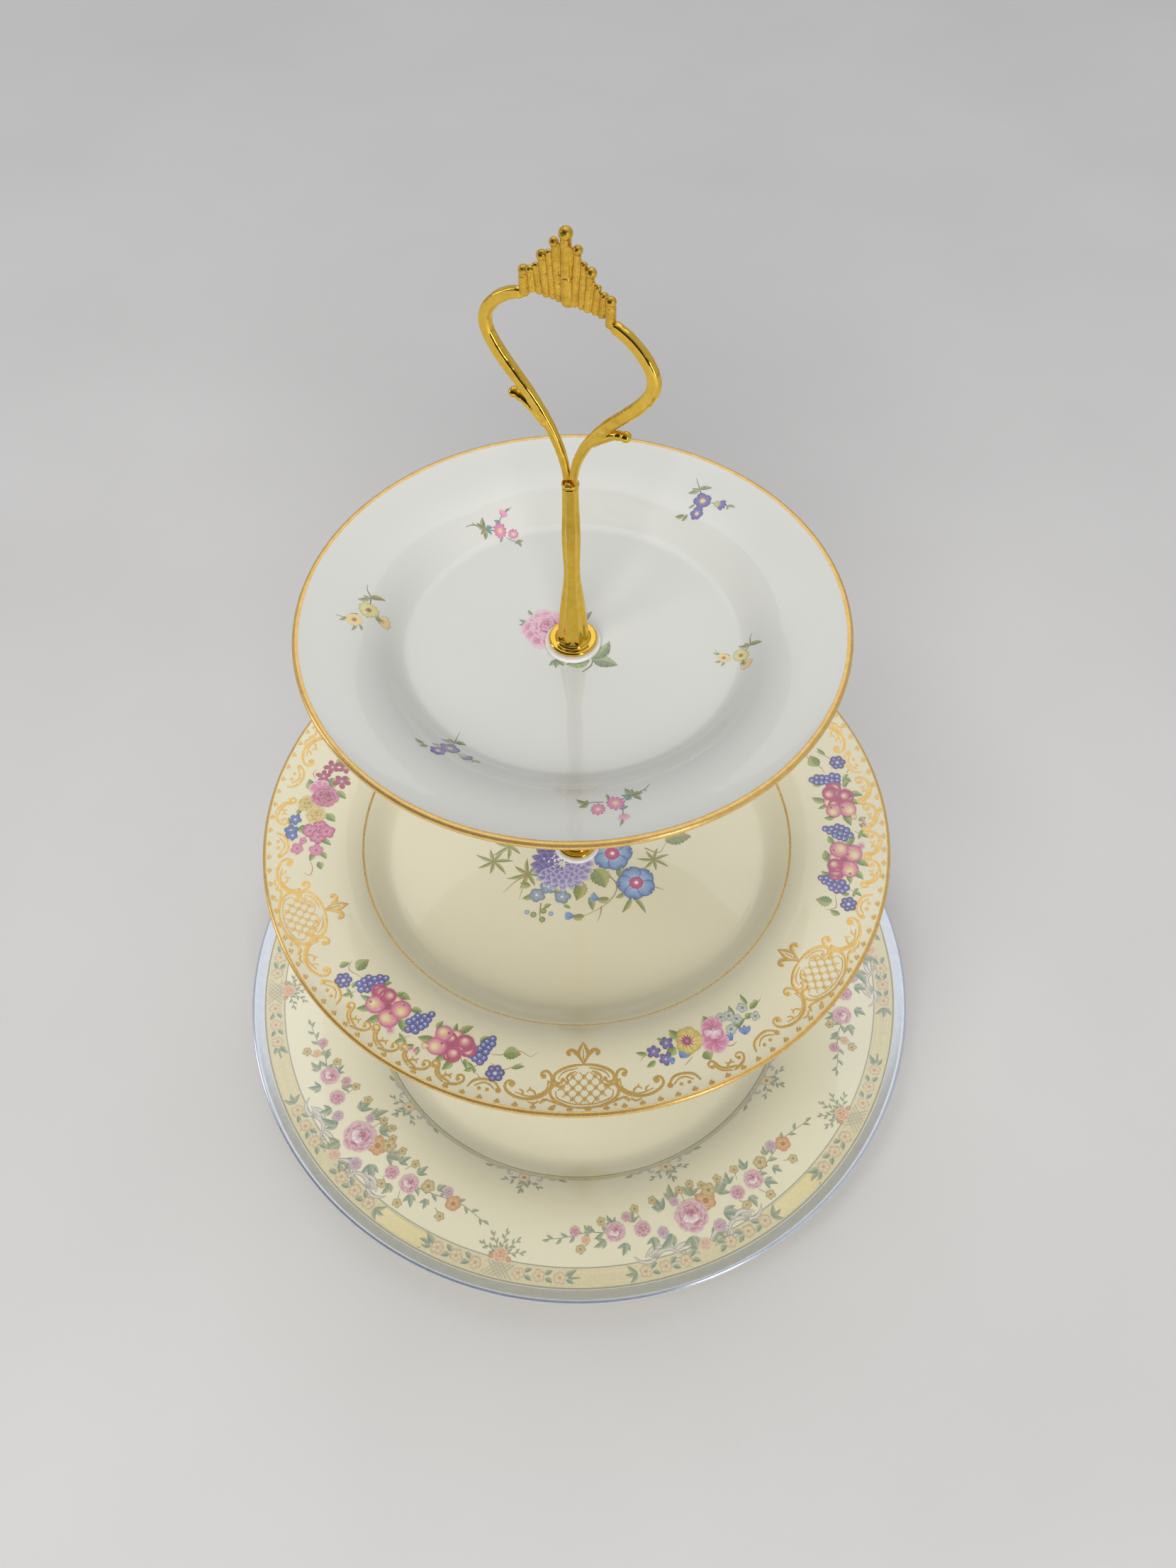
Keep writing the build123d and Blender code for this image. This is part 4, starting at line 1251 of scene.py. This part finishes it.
def spray():
    """A long spray of pastel roses that thins out to leafy tips."""
    d = Drawing()
    straw = (*STRAW[::-1], (PEACH[0], STRAW[0]))
    peach = (*PEACH[::-1], ("b8763c", PEACH[0]))
    for route in (
        [(-30, 1), (-38, 2.2), (-46, 0.6), (-53, -0.8)], [(28, 0.4), (40, 2.6), (50, 3.4), (59, 0.8)],
    ):
        d.sprig(route, 0.35, 4.2, 9, SAGE, SAGE_LIGHT)
    for x, y, turn, size in (
        (-29, 4, 120, 5), (-33, -1, 210, 5), (-26, -3, 250, 5), (-22, 4, 75, 5), (-16, -3, 260, 5),
        (-9, 6, 110, 7), (-4, 8, 80, 7), (3, 7, 60, 7), (-9, -4, 215, 7), (-3, -7, 255, 6.5), (5, -7, 290, 7),
        (11, -4, 320, 7), (13, 3, 20, 7), (19, 4, 70, 5), (22, -4, 270, 5), (28, 5, 80, 5), (32, 2, 20, 5),
        (30, -3, 310, 5), (-38, 2, 130, 4), (38, 4, 60, 4), (36, -1, 290, 4),
    ):
        cool = TEAL if (int(x) + int(y)) % 2 else SAGE
        for swing in (-44, 40, 0):
            reach = size * (1 if swing == 0 else 0.7)
            d.leaf(x, y, turn + swing, reach, reach * 0.4, cool, SAGE_LIGHT)
    for x, y in (
        (-20, 9), (-12, 10.6), (9, 9), (16, 8.2), (24, 7.5), (-34, 6), (19.5, -6), (28.5, -8), (44, -4),
        (-42, -4), (0, 11), (5, 11.5),
    ):
        d.stroke([(x * 0.93, y * 0.5), (x, y)], (0.2, 0.2), SAGE, SAGE)
        d.blossom(x, y, 1.9, 5, *straw, 31 * x, 0.1, 1)
    d.blossom(7.5, 3, 4.2, 6, *peach, 10, 0.15, 1.15)
    d.blossom(10.5, 6, 3, 5, *straw, 40, 0.1, 1.1)
    d.blossom(46, 2.4, 3.2, 5, *peach, 10, 0.15, 1.15)
    d.blossom(34, 3.6, 2.8, 5, *straw, 0, 0.1, 1.1)
    for x, y, size, tones in (
        (-44, 2.6, 2.2, SHELL_PINK), (-40, -0.6, 1.8, PEACH), (-12, -2.2, 2.2, MAUVE), (-4, 7.5, 2, MAUVE),
        (7.5, -7.6, 2.5, MAUVE), (42, 5.4, 2.2, MAUVE), (-24, 6.5, 2, SHELL_PINK),
        (19.4, -0.4, 2.9, SHELL_PINK), (-19, 0.8, 3.2, SHELL_PINK),
    ):
        d.rose(x, y, size, *tones, turn=17 * x)
    d.rose(-29, 1.6, 4, *SHELL_PINK, turn=-30)
    d.rose(27.4, 0.2, 3.9, *SHELL_PINK, turn=60)
    d.rose(0, 0, 6.6, *SHELL_PINK, turn=10)
    for x, y, size in ((0, 0, 3.2), (-29, 1.6, 2), (27.4, 0.2, 1.9)):
        for turn in (215, 255, 295):
            d.petal(x - 0.1 * size, y + 0.15 * size, turn, size, size, SHELL_PINK[0], SHELL_PINK[2], WHITE)
        d.disc(x + 0.2 * size, y + 0.4 * size, size * 0.34, SHELL_PINK[0], SHELL_PINK[1])
    return d


def border_half():
    """Half a repeat of the border, from a lattice knot at X 0 to a shell scroll at X 77.5."""
    d = Drawing()
    d.stroke([(27, 0), (50, 0)], (5.8, 5.8), "efdfa4", "f3e7b4", step=1.2)
    for x, turn in ((26, 180), (51, 0)):
        for swing in (-38, 0, 38):
            d.leaf(x, 0, turn + 180 + swing * 1.2, 4.6, 1.7, SAGE, SAGE_LIGHT)
    for x in (8, 15.5, 23, 54, 61.5, 69):
        d.leaf(x + 2.2, 0.8, 30, 3, 1.8, TEAL, SAGE_LIGHT)
        d.leaf(x + 2.4, -0.6, -30, 3, 1.8, TEAL, SAGE_LIGHT)
        d.blossom(x, 0, 2.5, 5, "f2e2c6", "e9d6b4", "cdb694", ("c39a6c", "dcc298"), 7 * x, 0.2, 1.1)
    return d


def lattice_knot():
    """Crossed ribbons with an orange rose and leaf sprigs above them."""
    d = Drawing()
    for slide in (-3.2, -1.6, 0, 1.6, 3.2):
        for lean in (-2.6, 2.6):
            low, high = slide - lean, slide + lean
            d.stroke([(low, -3), (high, 2.6)], (0.5, 0.5), "d8cfb0", "c9c2a6")
            d.stroke([(low + 0.4, -3), (high + 0.4, 2.6)], (0.16, 0.16), GREY_LINE, GREY_LINE)
    root = np.array([0, 5.4])
    for turn in (15, 50, 90, 130, 165):
        way = 4 * heading(turn)
        d.sprig([root, root + way, root + 2 * way], 0.25, 2.8, 5, SAGE, SAGE_LIGHT)
    d.rose(0, 5.2, 3, "c98058", "e0aa84", "f0d6ba", turn=20)
    for x in (-3.4, 3.4):
        d.disc(x, 4, 0.9, "e2b48c", "c08a64")
    return d


def shell_scroll():
    """Grey scrolls and shells on both sides of a small rose."""
    d = Drawing()
    pale, shade = "dfdbd2", "a5a19a"
    for side in (-1, 1):
        for route in (
            [(2, 0.4), (5, 2.8), (8.6, 3.2), (11, 1.4), (10, -0.6), (8.2, 0.4)],
            [(9.5, 0.4), (13, 3.4), (17, 3), (20.5, 0.6), (24.5, 1.4), (26.5, 3.4)],
            [(3, -1.6), (6, -0.6), (8.6, -2), (12, -1.2), (15, -2.2)],
            [(14, 4), (17, 5.2), (19.8, 4.6), (22.5, 2.4)],
        ):
            mirrored = [(side * x, y) for x, y in route]
            d.stroke(mirrored, (0.6, 1.7, 1.9, 1.4, 0.5), shade, shade)
            d.stroke(mirrored, (0.2, 1.1, 1.3, 0.9, 0.2), pale, pale)
        foot = np.array([side * 18.4, 1])
        for k in range(5):
            rib = (3 + 0.4 * k) * heading(90 + side * (38 - 24 * k))
            d.stroke([foot, foot + rib], (0.25, 0.7, 0.3), shade, pale)
        d.disc(side * 8.4, 0.6, 1, pale, shade)
        d.leaf(side * 3, 0, 90 - side * 60, 3.4, 1.6, SAGE, SAGE_LIGHT)
    d.rose(0, 0.6, 2.5, "c98a72", "e4b79c", "f2dcc8", turn=50)
    return d


def well_ornament():
    """A small flower with grey scrolls and leaves, hanging from the line round the well."""
    d = Drawing()
    shade, pale = "aaa6a0", "dcd7cc"
    for side in (-1, 1):
        for route in (
            [(1.5, -0.6), (4, 0.4), (6.4, -0.8), (5.8, -2.2), (4.6, -1.6)],
            [(6, -0.6), (8.4, 0.2), (10.5, -0.8), (12.4, -0.2)],
        ):
            mirrored = [(side * x, y) for x, y in route]
            d.stroke(mirrored, (0.4, 1.1, 1, 0.4), shade, shade)
            d.stroke(mirrored, (0.1, 0.6, 0.5, 0.1), pale, pale)
        d.sprig([(side * 1.5, -2), (side * 4, -4.4), (side * 6, -5)], 0.2, 2.8, 3, SAGE, SAGE_LIGHT)
        d.leaf(side * 12.6, -0.6, 90 - side * 105, 3.4, 1.3, SAGE, SAGE_LIGHT)
    d.sprig([(0, -2.5), (0.4, -5), (0, -7.6)], 0.25, 3.2, 4, SAGE, SAGE_LIGHT)
    d.blossom(0, -2, 2.3, 5, PEACH[2], STRAW[2], PEACH[1], (PEACH[0], STRAW[0]), 18, 0.15, 1.1)
    return d


def ring_line(radius, width, code):
    """A full circle, placed at its own radius."""
    d = Drawing()
    d.stroke([(-pi * radius, 0), (pi * radius, 0)], (width, width), code, code, step=1.2)
    return d, radius, 0


BAND_RADIUS, SHELL_RADIUS, SPRAY_RADIUS, ORNAMENT_RADIUS = 124.1, 121.6, 109.6, 85.2
LATTICE_ANGLE = -71.3
bottom_repeats = [LATTICE_ANGLE + 72 * k for k in range(5)]
border = [
    ring_line(BAND_RADIUS, 7, "e6dcb4"), ring_line(120.4, 0.5, "a9aa9c"), ring_line(127.9, 0.7, "a3a498"),
]
whole = border_half()
whole.mirror()
border += [(whole, BAND_RADIUS, angle) for angle in bottom_repeats]
border += [(lattice_knot(), BAND_RADIUS, angle) for angle in bottom_repeats]
border += [(shell_scroll(), SHELL_RADIUS, angle + 36) for angle in bottom_repeats]
lay("bottom_plate_border", plates["bottom"], border)
lay(
    "bottom_plate_sprays", plates["bottom"],
    [(spray(), SPRAY_RADIUS, angle + 36) for angle in bottom_repeats],
)
lines = [ring_line(84.7, 1.6, "d6d0a4"), ring_line(83.7, 0.45, "9d9c8a")]
lines += [(well_ornament(), ORNAMENT_RADIUS, LATTICE_ANGLE + 36 * k) for k in range(10)]
lay("bottom_plate_well_line", plates["bottom"], lines)
plates["bottom"].edge_band("bottom_plate_platinum_edge", 4.7, 12, platinum, "platinum_band", 0.05)

# ---- posts, washers and studs -------------------------------------------------------------------
FACETS = 8
FACET_CLOCKING = radians(8.5)
WASHER_HOLE = 2.9
FLANGE_RADIUS = node_radius("upper_post")
FOOT_SOCKET_DEPTH = 10.0
SHAFT_FOOT = [
    (1.8, 9.4), (2.7, 9.0), (4.7, 8.6), (10.2, 7.7), (15.7, 6.7), (21.2, 5.4), (26.7, 4.5), (32.2, 4.6),
    (39.7, 5.05),
]
SHAFT_TO_HANDLE = [(45.7, 4.9), (50.7, 4.6), (58.2, 4.4)]
SHAFT_TO_PLATE = [(50.0, 4.9), (61.0, 4.6), (71.0, 4.9), (79.0, 6.0), (87.0, 7.4), (97.2, 8.2)]


def facet_radius(width, angle, share):
    """The radius of a soft eight-sided section: share 0 is a circle and 1 has flats and ridges."""
    pitch = tau / FACETS
    off_ridge = (angle - FACET_CLOCKING) % pitch - pitch / 2
    flat = cos(pitch / 2) ** 0.5 / np.cos(off_ridge)
    hollow = 0.035 * np.cos(off_ridge / pitch * tau)
    return width / 2 * (1 + share * (flat - 1 - hollow))


def make_plated(name, points, faces, body, node):
    """A gold-plated piece that stands for a CAD node."""
    make_piece(name, points, faces, polished_gold, body, "gold_plated_metal", [node])


def make_post(node, stations, top_disc, body):
    """A post: rolled flange foot, faceted shaft, and its two sockets."""
    bottom, top = node_bottom(node), node_top(node)
    length = top - bottom
    shaft = smooth_line(stations, (0.3, -1), (1, 0), 90)
    # (radius, height) points from the foot's socket round the flange
    lip = [
        *straight((2.55, FOOT_SOCKET_DEPTH), (2.55, 0.3), 6), *arc((2.85, 0.3), 0.3, 180, 270, 3),
        *straight((3.4, 0.0), (FLANGE_RADIUS - 1.2, 0.0), 4),
        *arc((FLANGE_RADIUS - 0.8, 0.8), 0.8, -90, 90, 12),
        *arc((FLANGE_RADIUS - 1.75, 1.75), 0.45, -90 - 70, -90, 4)[::-1],
        *straight((FLANGE_RADIUS - 2.3, 1.75), (4.9, 1.9), 3),
    ]
    rings = [(radius, height, 0.0) for radius, height in lip]
    for height, width in shaft:
        softness = 1.0 - 0.5 * np.clip((height - 38) / 20, 0, 1)
        start = np.clip((height - 1.6) / 1.2, 0, 1)
        rings.append((width / 2, height, softness * start))
    if top_disc:
        rings += [(r, h, 0.0) for r, h in arc((4.3, length - 0.8), 0.4, -90, 0, 4)]
        rings += [(r, h, 0.0) for r, h in arc((4.3, length - 0.4), 0.4, 0, 90, 4)]
        socket, depth = 2.5, 11.0
    else:
        rings.append((width / 2 - 0.12, length, 0.3))
        socket, depth = 1.84, 6.0
    rings += [(socket + 0.15, length, 0.0), (socket, length - 0.15, 0.0), (socket, length - depth, 0.0)]
    segments = 96
    angles = round_angles(segments)
    points = [
        ring_points(facet_radius(radius * 2, angles, share), bottom + height, angles)
        for radius, height, share in rings
    ]
    points = np.concatenate([*points, [[0, 0, bottom + FOOT_SOCKET_DEPTH], [0, 0, top - depth]]])
    faces = grid_faces(len(rings), segments)
    cap_ends(faces, len(rings), segments, len(points) - 2, len(points) - 1)
    make_plated(f"{node}_plated", points, faces, body, node)


def make_ring(node, material, body, slot, edge):
    """A flat ring with rounded edges."""
    inner = WASHER_HOLE
    outer, low, high = node_radius(node), node_bottom(node), node_top(node)
    edge = min(edge, (high - low) / 2 - 0.01)
    profile = np.r_[
        arc((inner + edge, high - edge), edge, 180, 90, 5), straight((inner + 1, high), (outer - 1, high), 6),
        arc((outer - edge, high - edge), edge, 90, 0, 5), arc((outer - edge, low + edge), edge, 0, -90, 5),
        straight((outer - 1, low), (inner + 1, low), 6), arc((inner + edge, low + edge), edge, -90, -180, 5),
    ]
    points, faces = turned(profile, 96)
    make_piece(f"{node}_ring", points, faces, material, body, slot, [node])


def make_stud(node, body):
    """A threaded rod: a helical groove down its whole length."""
    radius, low, high = node_radius(node), node_bottom(node), node_top(node)
    pitch, depth, segments = 0.8, 0.49, 32
    heights = np.arange(low, high + 0.05, pitch / 8)
    angles = round_angles(segments)
    phase = (heights[:, None] / pitch - angles[None, :] / tau) % 1
    groove = depth * np.abs(2 * phase - 1)
    ends = np.minimum(heights - low, high - heights)[:, None]
    r = radius - groove - 0.4 * np.clip(1 - ends / 0.8, 0, 1)
    points = ring_points(r, heights[:, None], angles).reshape(-1, 3)
    points = np.r_[points, [[0, 0, low], [0, 0, heights[-1]]]]
    faces = grid_faces(len(heights), segments)
    cap_ends(faces, len(heights), segments, len(points) - 2, len(points) - 1)
    make_piece(f"{node}_thread", points, faces, stud_steel, body, "stud_steel", [node])


make_post("lower_post", SHAFT_FOOT + SHAFT_TO_PLATE, True, "column")
make_post("middle_post", SHAFT_FOOT + SHAFT_TO_PLATE, True, "upper_column")
make_post("upper_post", SHAFT_FOOT + SHAFT_TO_HANDLE, False, "handle")
make_stud("middle_stud", "column")
make_stud("top_stud", "upper_column")

for node, body in (
    ("base_gasket", "column"), ("lower_gasket", "column"), ("middle_gasket_below", "column"),
    ("middle_gasket_above", "middle_seal"), ("top_gasket_below", "upper_column"),
    ("top_gasket_above", "top_seal"),
):
    make_ring(node, gasket_plastic, body, "white_gasket", 0.35)
for node, body in (("base_washer", "column"), ("middle_washer", "column"), ("top_washer", "upper_column")):
    make_ring(node, polished_gold, body, "gold_plated_metal", 0.2)
frame["nodes"]["base_screw"].data.materials.clear()
frame["nodes"]["base_screw"].data.materials.append(polished_gold)

# ---- handle -------------------------------------------------------------------------------------
HANDLE_Z = node_bottom("handle_collar")
CROWN_POST_X = 11.6
CROWN_BASE_Z = 334.2
ARM_ROUTE = [
    (0.92, HANDLE_Z - 6.0), (0.95, 281.6), (1.75, 287.4), (3.9, 293.3), (11.2, 304.1), (19.5, 313.0),
    (23.4, 321.6), (19.3, 328.3), (CROWN_POST_X, 332.2),
]
ARM_STATIONS = [(0.0, 0.88), (0.08, 0.9), (0.27, 1.2), (0.62, 1.6), (1.0, 1.35)]
THORN_ROUTE = [(6.4, 296.6), (9.6, 299.7), (12.9, 302.0), (16.3, 303.0)]
THORN_RADIUS = 1.15
THORN_BALL = 1.5


def bar(route, start, end, radius_at, count, side, lumps, ridge=0.0):
    """A bar along XZ points, closed with round ends and lumpy like a casting.

    ridge flattens its front and back.
    """
    line = smooth_line(route, start, end, count)
    direction = np.gradient(line, axis=0)
    direction /= np.linalg.norm(direction, axis=1)[:, None]
    across = np.c_[direction[:, 1], -direction[:, 0]]
    segments = 28
    angles = round_angles(segments)
    share = np.linspace(0, 1, count)
    points = []
    for i in range(count):
        radius = radius_at(share[i])
        from_end = min(i, count - 1 - i) / 4
        radius *= np.sqrt(max(0.02, 1 - (1 - min(1, from_end)) ** 2))
        profile = radius * np.minimum(1 + ridge, (1 - ridge) / np.maximum(np.abs(np.sin(angles)), 0.1))
        for angle, r in zip(angles, profile):
            x, z = line[i] + across[i] * r * cos(angle)
            y = r * sin(angle)
            wobble = 1 + lumps * noise.noise(Vector((x * side, y, z)) * 0.55)
            x, z = line[i] + (np.array([x, z]) - line[i]) * wobble
            y *= wobble
            points.append((x * side, y, z))
    faces = grid_faces(count, segments)
    faces.append(tuple(range(segments))[::-1])
    faces.append(tuple(range((count - 1) * segments, count * segments)))
    if side < 0:
        faces = [face[::-1] for face in faces]
    return np.array(points), faces


def ball(centre, radius, squash=1.0):
    """A closed ball, flattened by squash."""
    rings, segments = 12, 24
    points = [(centre[0], centre[1], centre[2] - radius * squash)]
    for i in range(1, rings):
        up = -pi / 2 + pi * i / rings
        for j in range(segments):
            a = tau * j / segments
            out = radius * cos(up)
            height = centre[2] + radius * squash * sin(up)
            points.append((centre[0] + out * cos(a), centre[1] + out * sin(a), height))
    points.append((centre[0], centre[1], centre[2] + radius * squash))
    faces = grid_faces(rings - 1, segments, start=1)
    cap_ends(faces, rings - 1, segments, 0, len(points) - 1, start=1)
    return np.array(points), faces


def joined(*meshes):
    """Several (points, faces) as one."""
    points, faces, start = [], [], 0
    for some_points, some_faces in meshes:
        points.append(some_points)
        faces += [tuple(start + i for i in face) for face in some_faces]
        start += len(some_points)
    return np.concatenate(points), faces


def fused(points, faces, voxel, smoothing):
    """Overlapping closed shapes run together into one skin, with soft hollows where they meet."""
    mesh = bpy.data.meshes.new("fusing")
    mesh.from_pydata(np.asarray(points).tolist(), [], faces)
    piece = add_object("fusing", mesh)
    remesh = piece.modifiers.new("skin", "REMESH")
    remesh.mode = "VOXEL"
    remesh.voxel_size = voxel
    smooth = piece.modifiers.new("soften", "SMOOTH")
    smooth.iterations = smoothing
    smooth.factor = 0.5
    bpy.context.view_layer.update()
    done = bpy.data.meshes.new_from_object(piece.evaluated_get(bpy.context.evaluated_depsgraph_get()))
    found = np.array([v.co for v in done.vertices])
    found_faces = [tuple(p.vertices) for p in done.polygons]
    for data in (piece, mesh, done):
        (bpy.data.objects if data is piece else bpy.data.meshes).remove(data)
    return found, found_faces


def arm_radius(share):
    """The arm's radius at a share of its length."""
    return float(np.interp(share, *zip(*ARM_STATIONS)))


def make_arm(node, side):
    """One arm of the loop, with its thorn run into it."""
    arm = bar(ARM_ROUTE, (0, 1), (-1, 0.15), arm_radius, 170, side, ridge=0.14, lumps=0.05)
    tip_x, tip_z = THORN_ROUTE[-1]
    thorn = bar(
        [*THORN_ROUTE, (tip_x + 0.8, tip_z)], (0.5, 1), (1, 0),
        lambda share: THORN_RADIUS * (1.25 - 0.3 * share + 0.1 * (abs(share - 0.78) < 0.05)), 44, side,
        lumps=0.04,
    )
    tip = ball((side * (tip_x - 0.1), 0, tip_z), THORN_BALL, 0.95)
    points, faces = fused(*joined(arm, thorn, tip), voxel=0.16, smoothing=3)
    make_plated(f"{node}_plated", points, faces, "handle", node)


def make_collar():
    """The bead of solder round the stems, a little uneven."""
    inner, height = 1.86, node_top("handle_collar") - HANDLE_Z
    outer = node_radius("handle_collar")
    middle = HANDLE_Z + height / 2
    loop = np.linspace(0, tau, 20, endpoint=False)
    profile = np.c_[
        (inner + outer) / 2 + (outer - inner) / 2 * np.cos(-loop), middle + height / 2 * np.sin(-loop),
    ]

    def uneven(radius, z, angle):
        """The bead swells in and out, and its upper side rises and dips."""
        swell = 0.07 * np.sin(3 * angle + 0.6) + 0.05 * np.sin(7 * angle)
        dip = 0.12 * np.sin(4 * angle + 1.0)
        return radius - 0.1 + swell * (radius > inner + 0.1), z + dip * (z > middle)

    bead = turned(profile, 72, uneven)
    solder = ball((0, 0, HANDLE_Z + 0.1), inner + 0.1, 0.7)
    points, faces = joined(bead, solder)
    make_plated("handle_collar_bead", points, faces, "handle", "handle_collar")


# foot X, tip X, tip Z, foot radius, tip radius, ball radius, for the rays on either side
CROWN_RAYS = [
    (1.9, 3.1, 346.8, 1.0, 0.85, 1.15), (3.7, 4.7, 344.0, 0.8, 0.75, 0.8), (5.4, 6.5, 342.4, 1.0, 0.95, 1.3),
    (7.3, 8.3, 339.6, 0.8, 0.75, 0.85), (9.2, 9.9, 338.0, 0.95, 0.85, 1.0),
]
CROWN_CENTRE_RAY = (0.0, 0.0, 349.4, 1.35, 1.25, 1.65)
CROWN_POST_RADIUS = 1.25
CROWN_POST_BALL = 1.3
CROWN_POST_FOOT = 331.4
CROWN_POST_TOP = 338.0
CROWN_WEB_THICKNESS = 0.7
CROWN_WEB_STEPS = [
    (11.6, 336.4), (9.9, 338.2), (8.3, 340.1), (6.5, 342.2), (4.5, 344.6), (3.1, 346.3), (1.6, 347.9),
]


def crown_ray(foot_x, tip_x, tip_z, foot_radius, tip_radius, ball_radius, side=1):
    """One ray of the crown: a rough tapered bar and the ball on its tip."""
    start = (foot_x, CROWN_BASE_Z - 0.9)
    middle = ((foot_x + tip_x) / 2, (CROWN_BASE_Z + tip_z) / 2)
    ball_z = tip_z + ball_radius * 0.7
    route = [start, middle, (tip_x, ball_z)]
    way = (tip_x - foot_x, tip_z - CROWN_BASE_Z)
    ray = bar(
        route, way, way,
        lambda share: (foot_radius + (tip_radius - foot_radius) * share) * (1 + 0.02 * sin(31 * share)), 60,
        side, lumps=0.1,
    )
    return ray, ball((side * tip_x, 0, ball_z), ball_radius)


def make_crown():
    """The cast fan of rays between its two end posts, over the web that joins them."""
    rising = [(-CROWN_POST_X, CROWN_BASE_Z), (CROWN_POST_X, CROWN_BASE_Z)]
    outline = rising + CROWN_WEB_STEPS + [(-x, z) for x, z in CROWN_WEB_STEPS[::-1]]
    half = CROWN_WEB_THICKNESS / 2
    web = np.array([(x, y, z) for y in (half, -half) for x, z in outline])
    count = len(outline)
    sides = [(i, (i + 1) % count, count + (i + 1) % count, count + i) for i in range(count)]
    caps = [tuple(range(count))[::-1], tuple(range(count, 2 * count))]
    boss = bar(
        [(0.3, CROWN_BASE_Z - 1.5), (0.2, 337.5), (0, 341.4)], (0, 1), (0, 1),
        lambda share: 1.62 - 0.1 * share, 24, 1, lumps=0.06,
    )
    shapes = [(web, sides + caps), boss, *crown_ray(*CROWN_CENTRE_RAY)]
    for ray in CROWN_RAYS:
        shapes += [*crown_ray(*ray, side=1), *crown_ray(*ray, side=-1)]
    for side in (-1, 1):
        post = bar(
            [(CROWN_POST_X, CROWN_POST_FOOT), (CROWN_POST_X, 334.5), (CROWN_POST_X, CROWN_POST_TOP)], (0, 1),
            (0, 1), lambda share: CROWN_POST_RADIUS * (1 - 0.1 * (abs(share - 0.86) < 0.05)), 30, side,
            lumps=0.04,
        )
        shapes += [post, ball((side * CROWN_POST_X, 0, CROWN_POST_TOP), CROWN_POST_BALL)]
    points, faces = fused(*joined(*shapes), voxel=0.13, smoothing=1)
    make_piece("crown_cast", points, faces, cast_gold, "handle", "gold_plated_casting", ["crown"])


make_arm("handle_arm_left", -1)
make_arm("handle_arm_right", 1)
make_collar()
make_crown()

# ---- stage --------------------------------------------------------------------------------------
SENSOR = 36.0
FOCAL_SHARE = 0.854  # focal length over the picture's height
CAMERA_DISTANCE = 0.26608  # from the stand's axis
CAMERA_HEIGHT = 0.51171
CAMERA_YAW = -0.875
CAMERA_PITCH = 53.56
CAMERA_ROLL = -0.357


def make_camera():
    """The camera, above the stand and looking down at it."""
    data = bpy.data.cameras.new("camera")
    data.sensor_width = SENSOR
    data.lens = FOCAL_SHARE * SENSOR
    data.clip_start, data.clip_end = 0.01, 20.0
    camera = add_object("camera", data)
    turn = radians(HANDLE_TURN)
    camera.matrix_world = (
        Matrix.Translation((CAMERA_DISTANCE * sin(turn), -CAMERA_DISTANCE * cos(turn), CAMERA_HEIGHT))
        @ Matrix.Rotation(radians(HANDLE_TURN + CAMERA_YAW), 4, "Z")
        @ Matrix.Rotation(radians(90 - CAMERA_PITCH), 4, "X") @ Matrix.Rotation(radians(CAMERA_ROLL), 4, "Z")
    )
    bpy.context.scene.camera = camera


def make_floor():
    """A plain pale floor with a faint mottle."""
    material, shader = new_material("floor", Roughness=0.55)
    mottle = spread(material, noise_of(material, 6.0, 3.0), 0.0, 1.0)
    colour = mix_colours(material, mottle, (0.72, 0.71, 0.70), (0.68, 0.67, 0.66))
    feed(material, shader, Base_Color=colour)
    size = 6.0
    mesh = bpy.data.meshes.new("floor")
    corners = [(-size, -size, 0), (size, -size, 0), (size, size, 0), (-size, size, 0)]
    mesh.from_pydata(corners, [], [(0, 1, 2, 3)])
    mesh.materials.append(material)
    floor = add_object("floor", mesh)


def add_lamp(name, place, aim, size, power, colour=(1, 1, 1), in_gloss=True, in_matt=True):
    """A soft square lamp at place, looking at aim, that may be left out of glossy or matt shading."""
    data = bpy.data.lights.new(name, "AREA")
    data.shape = "RECTANGLE"
    data.size, data.size_y = size
    data.energy = power
    data.color = colour
    lamp = add_object(name, data)
    lamp.location = place
    lamp.visible_glossy = in_gloss
    lamp.visible_diffuse = in_matt
    lamp.rotation_mode = "QUATERNION"
    lamp.rotation_quaternion = (Vector(aim) - Vector(place)).to_track_quat("-Z", "Y")


def make_lights():
    """A soft studio: key, ceiling and front lamps, and two side lamps that only glint in glaze and metal.

    The pale surround darkens behind the camera.
    """
    world = bpy.data.worlds.new("studio")
    world.use_nodes = True
    tree = world.node_tree
    back = tree.nodes["Background"]
    back.inputs["Color"].default_value = (0.96, 0.97, 1.0, 1.0)
    place = tree.nodes.new("ShaderNodeTexCoord")
    split = tree.nodes.new("ShaderNodeSeparateXYZ")
    fade = tree.nodes.new("ShaderNodeMapRange")
    for name, value in (("From Min", -0.65), ("From Max", 0.0), ("To Min", 0.03), ("To Max", 0.5)):
        fade.inputs[name].default_value = value
    tree.links.new(place.outputs["Generated"], split.inputs[0])
    tree.links.new(split.outputs["Y"], fade.inputs["Value"])
    tree.links.new(fade.outputs["Result"], back.inputs["Strength"])
    bpy.context.scene.world = world
    bpy.context.scene.view_settings.view_transform = "Standard"
    aim = (0.0, 0.0, 0.15)
    add_lamp("key", (-0.45, -1.6, 2.8), aim, (0.7, 0.7), 13.0, (1.0, 0.98, 0.95), in_gloss=False)
    add_lamp("ceiling", (-0.6, 0.9, 2.6), aim, (2.6, 2.6), 12.0)
    add_lamp("front", (1.1, -2.1, 1.25), aim, (1.8, 1.3), 58.0, in_gloss=False)
    add_lamp("glint_right", (2.2, -1.0, 0.85), aim, (0.5, 1.5), 7.0, in_matt=False)
    add_lamp("glint_left", (-2.2, -1.0, 0.85), aim, (0.5, 1.5), 5.0, in_matt=False)


make_camera()
make_floor()
make_lights()
